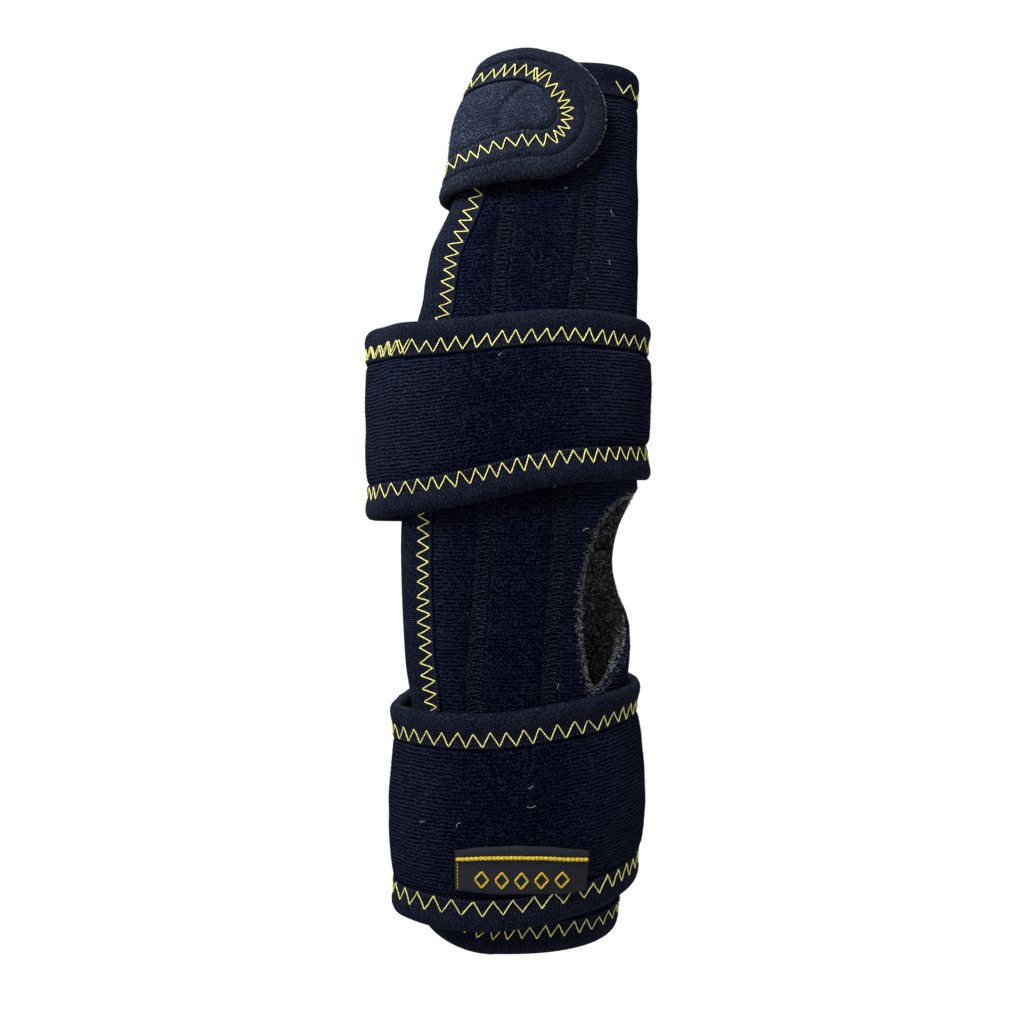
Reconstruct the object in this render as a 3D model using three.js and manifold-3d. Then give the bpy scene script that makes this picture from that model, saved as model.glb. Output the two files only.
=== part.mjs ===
// A soft splint worn on the right hand: a padded wrap round the index and middle fingers, the palm and the
// wrist, open along the little-finger side, with a thumb hole and three straps sewn on behind.
// Millimetres. +Z points to the fingertips, -Y out of the palm side, +X to the thumb. The origin is the
// middle of the wrist hollow, halfway up the wrist strap.
import * as THREE from 'three';
import { mergeVertices } from 'three/addons/utils/BufferGeometryUtils.js';
import Module from 'manifold-3d';

const wasm = await Module();
wasm.setup();

// Driving dimensions of the hollow
const splintLength = 270;
const hemBelowOrigin = 41;
const wrist = { breadth: 68, depth: 42, squareness: 2.2 };
const palm = { breadth: 78, depth: 31, squareness: 2.6 };
const fingers = { breadth: 53, depth: 20, squareness: 2.6 };

// Driving dimensions of the cloth
const clearance = 0.3;
const strapClearance = 0.4;
const liningThickness = 1.0;
const panelThickness = 2.2;
const strapThickness = 3.0;
const strapCrown = 0.3;
const pressedShare = 0.5;
const tape = { thickness: 0.8, width: 9.2, roll: 0.35, slack: 0.15 };
const pressRun = 3;
const panelCorner = { across: 22, along: 14.5 };
const channelSeam = { width: 5, depth: 0.9, rise: 0.7 };
const thumbHole = { length: 62.5, width: 37, middle: 0.396, aroundPalm: 6.4, liningShows: 2.2 };
const strapDrop = { rest: 0.5, lead: 1.5, run: 10 };
const thumbSideDip = { depth: 0.8, starts: -0.16, full: -0.06, leaves: 0.08, ends: 0.13 };
const lapRun = 14;
const hookTab = { thickness: 1.0, inset: 11.6, length: 17, fromTip: 12.7, lead: 4, gap: 1 };
const label = { width: 39, height: 11.9, thickness: 0.6, turn: 0.236, fromEdge: 19 };

// Sections of the hollow from hem to fingertips. height is a share of the splint's length. The four
// reaches are shares of the zone's breadth, to the little-finger and thumb sides, and of its depth, to the
// palm and back sides.
const hollowSections = [
  { height: 0.0, zone: wrist, little: 0.491, thumb: 0.429, palm: 0.476, back: 0.452 },
  { height: 0.078, zone: wrist, little: 0.503, thumb: 0.485, palm: 0.5, back: 0.476 },
  { height: 0.152, zone: wrist, little: 0.506, thumb: 0.5, palm: 0.512, back: 0.488 },
  { height: 0.256, zone: wrist, little: 0.488, thumb: 0.482, palm: 0.483, back: 0.462 },
  { height: 0.319, zone: palm, little: 0.462, thumb: 0.438, palm: 0.59, back: 0.555 },
  { height: 0.381, zone: palm, little: 0.496, thumb: 0.453, palm: 0.555, back: 0.516 },
  { height: 0.467, zone: palm, little: 0.54, thumb: 0.479, palm: 0.526, back: 0.49 },
  { height: 0.578, zone: palm, little: 0.548, thumb: 0.46, palm: 0.51, back: 0.477 },
  { height: 0.693, zone: palm, little: 0.545, thumb: 0.469, palm: 0.458, back: 0.439 },
  { height: 0.733, zone: fingers, little: 0.679, thumb: 0.695, palm: 0.61, back: 0.61 },
  { height: 0.781, zone: fingers, little: 0.519, thumb: 0.695, palm: 0.54, back: 0.55 },
  { height: 0.848, zone: fingers, little: 0.3, thumb: 0.695, palm: 0.48, back: 0.51 },
  { height: 0.937, zone: fingers, little: 0.225, thumb: 0.695, palm: 0.45, back: 0.49 },
  { height: 0.97, zone: fingers, little: 0.165, thumb: 0.693, palm: 0.445, back: 0.485 },
  { height: 1.0, zone: fingers, little: 0.075, thumb: 0.688, palm: 0.44, back: 0.48 },
];

// Lines on the wrap as shares of a full turn, counted from the thumb side over the palm. The back edge is
// counted the other way, over the back of the hand.
const panelLines = [
  { height: 0.0, frontEdge: 0.41, littleSeam: 0.31, thumbSeam: 0.2, backEdge: 0.4 },
  { height: 0.28, frontEdge: 0.427, littleSeam: 0.309, thumbSeam: 0.186, backEdge: 0.405 },
  { height: 0.39, frontEdge: 0.424, littleSeam: 0.292, thumbSeam: 0.171, backEdge: 0.4 },
  { height: 0.485, frontEdge: 0.413, littleSeam: 0.278, thumbSeam: 0.161, backEdge: 0.395 },
  { height: 0.6, frontEdge: 0.399, littleSeam: 0.266, thumbSeam: 0.147, backEdge: 0.39 },
  { height: 0.7, frontEdge: 0.393, littleSeam: 0.261, thumbSeam: 0.136, backEdge: 0.395 },
  { height: 0.756, frontEdge: 0.43, littleSeam: 0.285, thumbSeam: 0.134, backEdge: 0.41 },
  { height: 0.801, frontEdge: 0.462, littleSeam: 0.309, thumbSeam: 0.137, backEdge: 0.425 },
  { height: 0.853, frontEdge: 0.476, littleSeam: 0.334, thumbSeam: 0.145, backEdge: 0.435 },
  { height: 0.937, frontEdge: 0.45, littleSeam: 0.322, thumbSeam: 0.152, backEdge: 0.415 },
  { height: 1.0, frontEdge: 0.45, littleSeam: 0.3, thumbSeam: 0.165, backEdge: 0.44 },
];

// The thumb hole's outline, in shares of its width over the palm and of its length towards the fingertips.
const thumbHoleOutline = [
  { across: 0.34, along: -0.5 },
  { across: 0.14, along: -0.385 },
  { across: -0.15, along: -0.225 },
  { across: -0.38, along: -0.06 },
  { across: -0.5, along: 0.13 },
  { across: -0.44, along: 0.34 },
  { across: -0.22, along: 0.475 },
  { across: 0.1, along: 0.47 },
  { across: 0.34, along: 0.35 },
  { across: 0.47, along: 0.14 },
  { across: 0.5, along: -0.13 },
  { across: 0.45, along: -0.38 },
];

// Straps. Each starts sewn to the back, crosses the little-finger side and the palm side, and ends in a
// rounded tip. middle is a share of the splint's length. In a course, turn is as above, rise lifts the
// strap's middle line and reach is half its width, both as shares of its width.
const fingerStrap = {
  width: 42.5,
  middle: 0.9285,
  start: 0.8,
  tip: 0.116,
  tipLength: 21,
  tipRoundness: 2,
  laps: false,
  course: [
    { turn: 0.8, rise: 0.0, reach: 0.5 },
    { turn: 0.5, rise: 0.0, reach: 0.5 },
    { turn: 0.35, rise: 0.03, reach: 0.485 },
    { turn: 0.22, rise: 0.0, reach: 0.418 },
    { turn: 0.116, rise: 0.0, reach: 0.418 },
  ],
};
const palmStrap = {
  width: 60,
  middle: 0.598,
  start: 0.8,
  tip: -0.375,
  tipLength: 24,
  tipRoundness: 2.4,
  laps: true,
  course: [
    { turn: 0.8, rise: -0.065, reach: 0.5 },
    { turn: 0.5, rise: -0.052, reach: 0.502 },
    { turn: 0.36, rise: -0.028, reach: 0.478 },
    { turn: 0.165, rise: 0.065, reach: 0.44 },
    { turn: 0.0, rise: 0.075, reach: 0.413 },
    { turn: -0.375, rise: 0.09, reach: 0.38 },
  ],
};
const wristStrap = {
  width: 66,
  middle: 0.151,
  start: 0.8,
  tip: -0.375,
  tipLength: 26,
  tipRoundness: 2.4,
  laps: true,
  course: [
    { turn: 0.8, rise: -0.04, reach: 0.49 },
    { turn: 0.5, rise: 0.0, reach: 0.475 },
    { turn: 0.28, rise: -0.003, reach: 0.482 },
    { turn: 0.14, rise: 0.052, reach: 0.479 },
    { turn: 0.0, rise: 0.092, reach: 0.474 },
    { turn: -0.375, rise: 0.085, reach: 0.45 },
  ],
};

// Materials
const colours = { knit: 0x0b0e17, smooth: 0x1b1d26, plush: 0x14161e, fleece: 0x6e7074, hook: 0x17181b };
const finish = { metalness: 0, roughness: 0.95 };
const knitCloth = new THREE.MeshStandardMaterial({ color: colours.knit, ...finish });
const plushCloth = new THREE.MeshStandardMaterial({ color: colours.plush, ...finish });
const smoothTape = new THREE.MeshStandardMaterial({ color: colours.smooth, metalness: 0, roughness: 0.75 });
const greyFleece = new THREE.MeshStandardMaterial({ color: colours.fleece, ...finish });
const hookPlastic = new THREE.MeshStandardMaterial({ color: colours.hook, metalness: 0, roughness: 0.6 });
const wovenCloth = new THREE.MeshStandardMaterial({ color: colours.hook, metalness: 0, roughness: 0.85 });

// Curves and tables

function smoothStep(value, from, to) {
  const share = THREE.MathUtils.clamp((value - from) / (to - from), 0, 1);
  return share * share * (3 - 2 * share);
}

// A smooth curve through a table's column, with the slope at each row taken across its two neighbours.
function readTable(rows, key, at, column) {
  const last = rows.length - 1;
  const sign = Math.sign(rows[last][key] - rows[0][key]);
  const place = (row) => sign * rows[row][key];
  const value = (row) => column(rows[row]);
  const target = THREE.MathUtils.clamp(sign * at, place(0), place(last));
  let low = 0;
  while (low < last - 1 && place(low + 1) < target) low += 1;
  const slope = (row) => {
    const before = Math.max(row - 1, 0);
    const after = Math.min(row + 1, last);
    return (value(after) - value(before)) / (place(after) - place(before));
  };
  const step = place(low + 1) - place(low);
  const u = (target - place(low)) / step;
  const start = (2 * u ** 3 - 3 * u ** 2 + 1) * value(low) + (u ** 3 - 2 * u ** 2 + u) * slope(low) * step;
  const end = (3 * u ** 2 - 2 * u ** 3) * value(low + 1) + (u ** 3 - u ** 2) * slope(low + 1) * step;
  return start + end;
}

// The hollow's section at a height

const sectionSteps = 360;
const sectionStore = new Map();

const heightOf = (z) => (z + hemBelowOrigin) / splintLength;
const zOf = (height) => height * splintLength - hemBelowOrigin;

function rimPoint(section, angle) {
  const across = Math.cos(angle);
  const outward = -Math.sin(angle);
  const depth = outward < 0 ? section.palm : section.back;
  const power = section.squareness;
  const total = Math.abs(across / section.half) ** power + Math.abs(outward / depth) ** power;
  const reach = total ** (-1 / power);
  return { x: reach * across, y: reach * outward, depth };
}

function sectionAt(z) {
  const key = z.toFixed(2);
  if (sectionStore.has(key)) return sectionStore.get(key);
  const read = (column) => readTable(hollowSections, 'height', heightOf(z), column);
  const little = read((row) => row.little * row.zone.breadth);
  const thumb = read((row) => row.thumb * row.zone.breadth);
  const section = {
    middle: (thumb - little) / 2,
    half: (thumb + little) / 2,
    palm: read((row) => row.palm * row.zone.depth),
    back: read((row) => row.back * row.zone.depth),
    squareness: read((row) => row.zone.squareness),
    lengths: [0],
  };
  let before = rimPoint(section, 0);
  for (let step = 1; step <= sectionSteps; step += 1) {
    const point = rimPoint(section, (step / sectionSteps) * 2 * Math.PI);
    section.lengths.push(section.lengths[step - 1] + Math.hypot(point.x - before.x, point.y - before.y));
    before = point;
  }
  section.girth = section.lengths[sectionSteps];
  sectionStore.set(key, section);
  return section;
}

// A point at a share of a turn round the hollow, at height z, lifted off the hollow's wall.
function wallPoint(turn, z, lift) {
  const section = sectionAt(z);
  const target = (turn - Math.floor(turn)) * section.girth;
  let low = 0;
  let high = sectionSteps;
  while (high - low > 1) {
    const half = Math.floor((low + high) / 2);
    if (section.lengths[half] > target) high = half;
    else low = half;
  }
  const part = (target - section.lengths[low]) / (section.lengths[high] - section.lengths[low]);
  const point = rimPoint(section, ((low + part) / sectionSteps) * 2 * Math.PI);
  const power = section.squareness - 1;
  const normal = new THREE.Vector2(
    (Math.sign(point.x) * Math.abs(point.x) ** power) / section.half ** section.squareness,
    (Math.sign(point.y) * Math.abs(point.y) ** power) / point.depth ** section.squareness,
  ).normalize();
  return new THREE.Vector3(section.middle + point.x + normal.x * lift, point.y + normal.y * lift, z);
}

// Closed meshes

function meshFrom(points, triangles) {
  const geometry = new THREE.BufferGeometry();
  const numbers = points.flatMap((point) => [point.x, point.y, point.z]);
  geometry.setAttribute('position', new THREE.Float32BufferAttribute(numbers, 3));
  geometry.setIndex(triangles);
  return geometry;
}

// Joins rings of points into a tube with flat ends, or into a closed loop. A ring holds one face's points
// and then, from the place given as back, the other face's, backwards. Both faces are split along the same
// diagonals.
function loft(rings, { closed = false, back = rings[0].length / 2 } = {}) {
  const size = rings[0].length;
  const triangles = [];
  const spans = closed ? rings.length : rings.length - 1;
  for (let ring = 0; ring < spans; ring += 1) {
    const next = (ring + 1) % rings.length;
    for (let point = 0; point < size; point += 1) {
      const beside = (point + 1) % size;
      const a = ring * size + point;
      const b = ring * size + beside;
      const c = next * size + beside;
      const d = next * size + point;
      if (point >= back) triangles.push(a, b, d, b, c, d);
      else triangles.push(a, b, c, a, c, d);
    }
  }
  if (!closed) {
    const last = (rings.length - 1) * size;
    for (let point = 0; point < size / 2 - 1; point += 1) {
      const facing = size - 1 - point;
      triangles.push(point, facing, facing - 1, point, facing - 1, point + 1);
      triangles.push(last + point, last + facing - 1, last + facing);
      triangles.push(last + point, last + point + 1, last + facing - 1);
    }
  }
  return meshFrom(rings.flat(), triangles);
}

// Turns a closed mesh's faces outward if its volume comes out negative.
function facingOut(geometry) {
  const position = geometry.getAttribute('position');
  const index = geometry.getIndex();
  const corner = [new THREE.Vector3(), new THREE.Vector3(), new THREE.Vector3()];
  let volume = 0;
  for (let first = 0; first < index.count; first += 3) {
    corner.forEach((point, offset) => point.fromBufferAttribute(position, index.getX(first + offset)));
    volume += corner[0].dot(corner[1].cross(corner[2])) / 6;
  }
  if (volume < 0) {
    for (let first = 0; first < index.count; first += 3) {
      const second = index.getX(first + 1);
      index.setX(first + 1, index.getX(first + 2));
      index.setX(first + 2, second);
    }
  }
  return geometry;
}

function toManifold(geometry) {
  const merged = mergeVertices(geometry, 1e-4);
  return new wasm.Manifold(new wasm.Mesh({
    numProp: 3,
    vertProperties: new Float32Array(merged.getAttribute('position').array),
    triVerts: new Uint32Array(merged.getIndex().array),
  }));
}

function fromManifold(solid) {
  const mesh = solid.getMesh();
  const geometry = new THREE.BufferGeometry();
  geometry.setAttribute('position', new THREE.BufferAttribute(new Float32Array(mesh.vertProperties), 3));
  geometry.setIndex(new THREE.BufferAttribute(new Uint32Array(mesh.triVerts), 1));
  return geometry;
}

// The wrap: a flat pattern whose first coordinate is the distance round from the thumb side, over the palm

const hemZ = zOf(0);
const endZ = zOf(1);
const pressedPanel = panelThickness * pressedShare;
const pressedLining = liningThickness * pressedShare;
const panelEdgeTop = 3 * clearance + 2 * tape.thickness + pressedPanel + pressedLining;
const panelTop = liningThickness + clearance + panelThickness;
const panelReach = Math.max(panelEdgeTop, panelTop + channelSeam.rise);
const tapeStandoff = tape.thickness + clearance;
const sheetInset = tapeStandoff + clearance;
const pressWidth = tape.width + clearance;
const cornerSpare = 0.8;

const lineAt = (z, name) =>
  readTable(panelLines, 'height', heightOf(z), (row) => row[name]) * sectionAt(z).girth;
const panelPoint = (around, z, lift) => wallPoint(around / sectionAt(z).girth, z, lift);

// How far a rounded corner lifts an end edge, at a distance in from the side edge.
function cornerRise(fromSide, inset) {
  const share = THREE.MathUtils.clamp(fromSide / (panelCorner.across - inset), 0, 1);
  return (panelCorner.along - inset) * (1 - Math.sqrt(1 - (1 - share) ** 2));
}

const panelSides = (z, inset) => ({
  front: lineAt(z, 'frontEdge') - inset,
  back: inset - lineAt(z, 'backEdge'),
});

// Distance in from an edge path on a flat pattern.
function distanceToPath(path, x, y) {
  let nearest = Infinity;
  for (let step = 1; step < path.length; step += 1) {
    const from = path[step - 1];
    const to = path[step];
    const run = to.clone().sub(from);
    const share = THREE.MathUtils.clamp(((x - from.x) * run.x + (y - from.y) * run.y) / run.lengthSq(), 0, 1);
    nearest = Math.min(nearest, Math.hypot(from.x + run.x * share - x, from.y + run.y * share - y));
  }
  return nearest;
}

// Heights of the wrap's rows between its two taped ends, closest where the hollow narrows.
const rowHeights = [
  0.125, 0.165, 0.21, 0.265, 0.32, 0.38, 0.45, 0.55, 0.64, 0.7, 0.735, 0.775, 0.82, 0.865, 0.9,
];

// Places round the thumb side, as shares of a turn, closest where the section bends most.
const thumbTurns = [-0.16, -0.11, -0.075, -0.05, -0.03, -0.012, 0.012, 0.03, 0.05, 0.075, 0.11];

function panelColumns(z) {
  const { front, back } = panelSides(z, sheetInset);
  const edge = pressWidth - sheetInset;
  const girth = sectionAt(z).girth;
  const seam = (name) => {
    const middle = lineAt(z, name);
    return [middle - channelSeam.width / 2, middle, middle + channelSeam.width / 2];
  };
  const pocket = [0.33, 0.67].map((share) =>
    THREE.MathUtils.lerp(lineAt(z, 'thumbSeam'), lineAt(z, 'littleSeam'), share));
  const thumbSide = thumbTurns.map((turn) => turn * girth);
  const nearBack = back + edge + pressRun;
  const backSide = [0.36, 0.72].map((share) => THREE.MathUtils.lerp(nearBack, thumbSide[0], share));
  return [
    back,
    back + edge,
    nearBack,
    ...backSide,
    ...thumbSide,
    ...seam('thumbSeam'),
    ...pocket,
    ...seam('littleSeam'),
    front - edge - pressRun,
    front - edge,
    front,
  ];
}

// The edge has two more steps than the rows, before the fingertip corners. edgeSpare says how close a row or
// a column may come to the edge's own corners before the edge leaves it out.
const edgeHeights = [...rowHeights, 0.911, 0.929];
const edgeSpare = { row: 3, column: 1 };

// The wrap's edge, anticlockwise on the flat pattern.
function panelEdgePath() {
  const cornerAngles = [0.2, 0.4, 0.6, 0.8].map((share) => (share * Math.PI) / 2);
  const low = hemZ + panelCorner.along;
  const high = endZ - panelCorner.along;
  const between = edgeHeights.map(zOf).filter((z) => z > low + edgeSpare.row && z < high - edgeSpare.row);
  const sides = [low, ...between, high];
  const front = sides.map((z) => new THREE.Vector2(panelSides(z, 0).front, z));
  const back = sides.map((z) => new THREE.Vector2(panelSides(z, 0).back, z)).reverse();
  const corner = (endAt, upward, side) => cornerAngles.map((angle) => {
    const z = endAt + upward * panelCorner.along * (1 - Math.cos(angle));
    const inward = panelCorner.across * (1 - Math.sin(angle));
    return new THREE.Vector2(panelSides(z, 0)[side] + (side === 'front' ? -inward : inward), z);
  });
  const end = (z) => {
    const from = panelSides(z, 0).back + panelCorner.across;
    const to = panelSides(z, 0).front - panelCorner.across;
    const inside = (place) => place > from + edgeSpare.column && place < to - edgeSpare.column;
    return [from, ...panelColumns(z).filter(inside), to].map((x) => new THREE.Vector2(x, z));
  };
  return [
    ...end(hemZ),
    ...corner(hemZ, 1, 'front'),
    ...front,
    ...corner(endZ, -1, 'front').reverse(),
    ...end(endZ).reverse(),
    ...corner(endZ, -1, 'back'),
    ...back,
    ...corner(hemZ, 1, 'back').reverse(),
  ];
}

const panelEdge = panelEdgePath();
const closedPanelEdge = [...panelEdge, panelEdge[0]];

// Distance in from the wrap's edge, kept short beside the ends so that the tape has room in the corners.
function panelEdgeDistance(around, z) {
  const nearEnd = Math.min(z - hemZ, endZ - z) < 2 * panelCorner.along;
  return distanceToPath(closedPanelEdge, around, z) - (nearEnd ? cornerSpare : 0);
}

const pressAt = (distance) => 1 - smoothStep(distance, pressWidth, pressWidth + pressRun);

// Height of the seamed stay channel's relief on the outer face: a low bulge between two grooves.
function channelRelief(around, z) {
  const seams = [lineAt(z, 'thumbSeam'), lineAt(z, 'littleSeam')];
  const nearest = Math.min(...seams.map((seam) => Math.abs(around - seam)));
  const groove = channelSeam.depth * (1 - smoothStep(nearest, 0, channelSeam.width / 2));
  const share = (around - seams[0]) / (seams[1] - seams[0]);
  const bulge = channelSeam.rise * smoothStep(4 * share * (1 - share), 0, 1);
  return bulge - groove;
}

function liningFaces(around, z) {
  const press = pressAt(panelEdgeDistance(around, z));
  const inner = press * tapeStandoff;
  return { inner, outer: inner + THREE.MathUtils.lerp(liningThickness, pressedLining, press) };
}

function panelFaces(around, z) {
  const press = pressAt(panelEdgeDistance(around, z));
  const inner = liningFaces(around, z).outer + clearance;
  const thickness = THREE.MathUtils.lerp(panelThickness, pressedPanel - tape.slack, press);
  return { inner, outer: inner + thickness + (1 - press) * channelRelief(around, z) };
}

// The wrap's rows. The rows at an end follow its rounded corners.
function panelRows() {
  const edge = pressWidth - sheetInset;
  const near = [0, 0.3 * edge, edge, edge + pressRun];
  const hemRows = near.map((distance) => ({ z: hemZ + sheetInset + distance, upward: 1 }));
  const endRows = near.map((distance) => ({ z: endZ - sheetInset - distance, upward: -1 })).reverse();
  return [...hemRows, ...rowHeights.map((height) => ({ z: zOf(height), upward: 0 })), ...endRows];
}

function panelSheet(faces) {
  const rings = panelRows().map((row) => {
    const columns = panelColumns(row.z);
    const places = columns.map((around) => {
      const fromSide = Math.min(columns[columns.length - 1] - around, around - columns[0]);
      return { around, z: row.z + row.upward * cornerRise(fromSide, sheetInset) };
    });
    const face = (name) => places.map(({ around, z }) => panelPoint(around, z, faces(around, z)[name]));
    return [...face('outer'), ...face('inner').reverse()];
  });
  return facingOut(loft(rings));
}

// The thumb hole's plug: the outline carried from inside the hollow to outside the wrap

const thumbHoleZ = zOf(thumbHole.middle);
const thumbHoleSides = 36;

function thumbHolePath(grow) {
  const width = thumbHole.width + 2 * grow;
  const length = thumbHole.length + 2 * grow;
  const corners = thumbHoleOutline.map(({ across, along }) =>
    new THREE.Vector3(thumbHole.aroundPalm + across * width, thumbHoleZ + along * length, 0));
  const outline = new THREE.CatmullRomCurve3(corners, true, 'centripetal');
  return outline.getSpacedPoints(thumbHoleSides).slice(0, -1);
}

function thumbHolePlug(grow) {
  const outline = thumbHolePath(grow);
  const shares = [0.5, 1];
  const layer = (lift) => {
    const middle = panelPoint(thumbHole.aroundPalm, thumbHoleZ, lift);
    const rings = shares.map((share) => outline.map((point) => panelPoint(
      THREE.MathUtils.lerp(thumbHole.aroundPalm, point.x, share),
      THREE.MathUtils.lerp(thumbHoleZ, point.y, share),
      lift,
    )));
    return [middle, ...rings.flat()];
  };
  const count = outline.length;
  const points = [...layer(-pressRun), ...layer(panelReach + pressRun)];
  const layerSize = 1 + shares.length * count;
  const triangles = [];
  for (let step = 0; step < count; step += 1) {
    const next = (step + 1) % count;
    const low = [0, 1 + step, 1 + next, 1 + count + step, 1 + count + next];
    const high = low.map((corner) => corner + layerSize);
    triangles.push(low[0], low[1], low[2], low[1], low[3], low[4], low[1], low[4], low[2]);
    triangles.push(high[0], high[2], high[1], high[1], high[4], high[3], high[1], high[2], high[4]);
    triangles.push(low[3], high[3], high[4], low[3], high[4], low[4]);
  }
  return facingOut(meshFrom(points, triangles));
}

const pierced = (sheet, grow) => fromManifold(toManifold(sheet).subtract(toManifold(thumbHolePlug(grow))));

// Binding tape, folded over an edge

// The tape's section, as distance in from the folded edge and height from the underside.
function tapeSection(edgeTop) {
  const { thickness, width, roll } = tape;
  return [
    [width, edgeTop - 0.5 * thickness],
    [width / 2, edgeTop + roll],
    [tapeStandoff, edgeTop],
    [0, edgeTop / 2],
    [thickness, 0],
    [width, 0.5 * thickness],
    [tapeStandoff, thickness],
    [tapeStandoff, edgeTop - thickness],
  ];
}

// Where the section's inner side starts, and the triangles that close a cut end, by the section's corners.
const tapeInnerSide = 5;
const tapeCutEnd = [[0, 1, 7], [1, 2, 7], [2, 3, 7], [3, 6, 7], [3, 4, 6], [4, 5, 6]];

// Carries the tape's section along a path on a flat pattern, with the pattern's inside on the path's left.
function foldedTape(path, edgeTop, place, closed) {
  const count = path.length;
  return path.map((point, step) => {
    const before = path[closed ? (step + count - 1) % count : Math.max(step - 1, 0)];
    const after = path[closed ? (step + 1) % count : Math.min(step + 1, count - 1)];
    const inward = new THREE.Vector2(before.y - after.y, after.x - before.x).normalize();
    return tapeSection(edgeTop).map(([distance, lift]) =>
      place(point.x + inward.x * distance, point.y + inward.y * distance, lift));
  });
}

function tapeMesh(rings, closed) {
  const size = rings[0].length;
  const body = loft(rings, { closed: true, back: closed ? rings[0].length : tapeInnerSide });
  if (closed) return facingOut(body);
  const triangles = Array.from(body.getIndex().array).slice(0, (rings.length - 1) * size * 6);
  const last = (rings.length - 1) * size;
  tapeCutEnd.forEach(([a, b, c]) => {
    triangles.push(a, c, b, last + a, last + b, last + c);
  });
  return facingOut(meshFrom(rings.flat(), triangles));
}

// Straps: a flat pattern whose first coordinate runs from the sewn start to the tip

const strapPressed = strapThickness * pressedShare;
const strapEdgeTop = 2 * clearance + 2 * tape.thickness + strapPressed;
const strapTop = Math.max(strapEdgeTop + tape.roll, strapThickness + strapCrown);
const seatOnPanel = Math.max(panelReach, panelEdgeTop + tape.roll) + strapClearance;

function strapFrame(strap) {
  const z = zOf(strap.middle);
  const { girth } = sectionAt(z);
  const tipX = (strap.start - strap.tip) * girth;
  return { ...strap, z, girth, tipX, roundX: tipX - strap.tipLength };
}

const strapTurn = (strap, x) => strap.start - x / strap.girth;
const courseAt = (strap, x, name) =>
  readTable(strap.course, 'turn', strapTurn(strap, x), (row) => row[name]) * strap.width;

// Half the strap's width at a distance along it, inset from its edge.
function strapHalf(strap, x, inset) {
  const half = courseAt(strap, Math.min(x, strap.roundX), 'reach') - inset;
  const share = THREE.MathUtils.clamp((x - strap.roundX) / (strap.tipLength - inset), 0, 1);
  return half * (1 - share ** strap.tipRoundness) ** (1 / strap.tipRoundness);
}

// What the strap lies on: the wrap, the hand in the open side, or its own sewn start. Over the thumb side,
// clear of the wrap's taped edges and stay channel, a lapping strap lies closer.
function strapSeat(strap, turn, z) {
  const { girth } = sectionAt(z);
  const place = turn - Math.floor(turn);
  const pastFront = place * girth - lineAt(z, 'frontEdge');
  const pastBack = (1 - place) * girth - lineAt(z, 'backEdge');
  const past = Math.min(pastFront, pastBack);
  const drop = smoothStep(past, strapDrop.lead, strapDrop.lead + strapDrop.run);
  const onHand = THREE.MathUtils.lerp(seatOnPanel, strapDrop.rest, drop);
  if (!strap.laps) return onHand;
  const { depth, starts, full, leaves, ends } = thumbSideDip;
  const dip = depth * smoothStep(turn, starts, full) * (1 - smoothStep(turn, leaves, ends));
  const beforeLap = (turn - (strap.start - 1)) * strap.girth;
  const lift = 1 - smoothStep(beforeLap, strapDrop.lead, strapDrop.lead + lapRun);
  return onHand - dip + lift * (strapTop + strapClearance);
}

function strapPoint(strap, x, y, lift) {
  const turn = strapTurn(strap, x);
  const z = strap.z + courseAt(strap, x, 'rise') + y;
  return wallPoint(turn, z, strapSeat(strap, turn, z) + lift);
}

// A strap's steps are shared out by its length and its bend, counted over many fine steps.
const strapStep = { fine: 400, length: 14, bend: 0.26, spare: 2, edge: 60 };

// Steps along a strap, closer where it bends more.
function strapStations(strap, count, endX) {
  const { fine } = strapStep;
  const spans = [0];
  let before = wallPoint(strapTurn(strap, 0), strap.z, seatOnPanel);
  let heading = null;
  for (let step = 1; step <= fine; step += 1) {
    const point = wallPoint(strapTurn(strap, (endX * step) / fine), strap.z, seatOnPanel);
    const way = point.clone().sub(before);
    const bend = heading ? way.angleTo(heading) : 0;
    spans.push(spans[step - 1] + way.length() / strapStep.length + bend / strapStep.bend);
    before = point;
    heading = way;
  }
  return Array.from({ length: count }, (_, station) => {
    const target = (spans[fine] * station) / (count - 1);
    const high = Math.max(spans.findIndex((span) => span >= target - 1e-9), 1);
    const part = (target - spans[high - 1]) / (spans[high] - spans[high - 1]);
    return (endX * (high - 1 + part)) / fine;
  });
}

const tipShares = [0.3, 0.55, 0.75, 0.9, 0.98];
const tipSpare = 1;
const tabEndX = (strap) => strap.tipX - hookTab.fromTip;
const tabStartX = (strap) => tabEndX(strap) - hookTab.length;
const tabLead = (strap) => [tabStartX(strap) - hookTab.lead, tabStartX(strap) - hookTab.gap];

// Steps up to the tip's round end, with two where the strap's underside lifts off the hook pad's start.
function strapSteps(strap, count) {
  const lead = tabLead(strap);
  const isClear = (x) => lead.every((place) => Math.abs(place - x) > strapStep.spare);
  const even = strapStations(strap, count, strap.roundX).filter(isClear);
  return [...even, ...lead].sort((a, b) => a - b);
}

// The strap's edge from the start's lower corner, along the lower edge, round the tip and back.
function strapEdgePath(strap, count) {
  const round = tipShares.map((share) => strap.roundX + share * strap.tipLength);
  const stations = [...strapSteps(strap, count), ...round];
  const lower = stations.map((x) => new THREE.Vector2(x, -strapHalf(strap, x, 0)));
  const upper = stations.map((x) => new THREE.Vector2(x, strapHalf(strap, x, 0))).reverse();
  return [...lower, new THREE.Vector2(strap.tipX, 0), ...upper];
}

// The strap's inner and outer face: pressed thin under the tape, and lifted over the hook pad.
function strapFaces(strap, path, x, y) {
  const spare = x > strap.roundX ? tipSpare : 0;
  const press = pressAt(distanceToPath(path, x, y) - spare);
  const overTab = smoothStep(x, ...tabLead(strap)) * (hookTab.thickness + clearance);
  const inner = Math.max(press * tapeStandoff, overTab);
  const full = strapThickness + strapCrown;
  return { inner, outer: THREE.MathUtils.lerp(full, tapeStandoff + strapPressed - tape.slack, press) };
}

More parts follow.
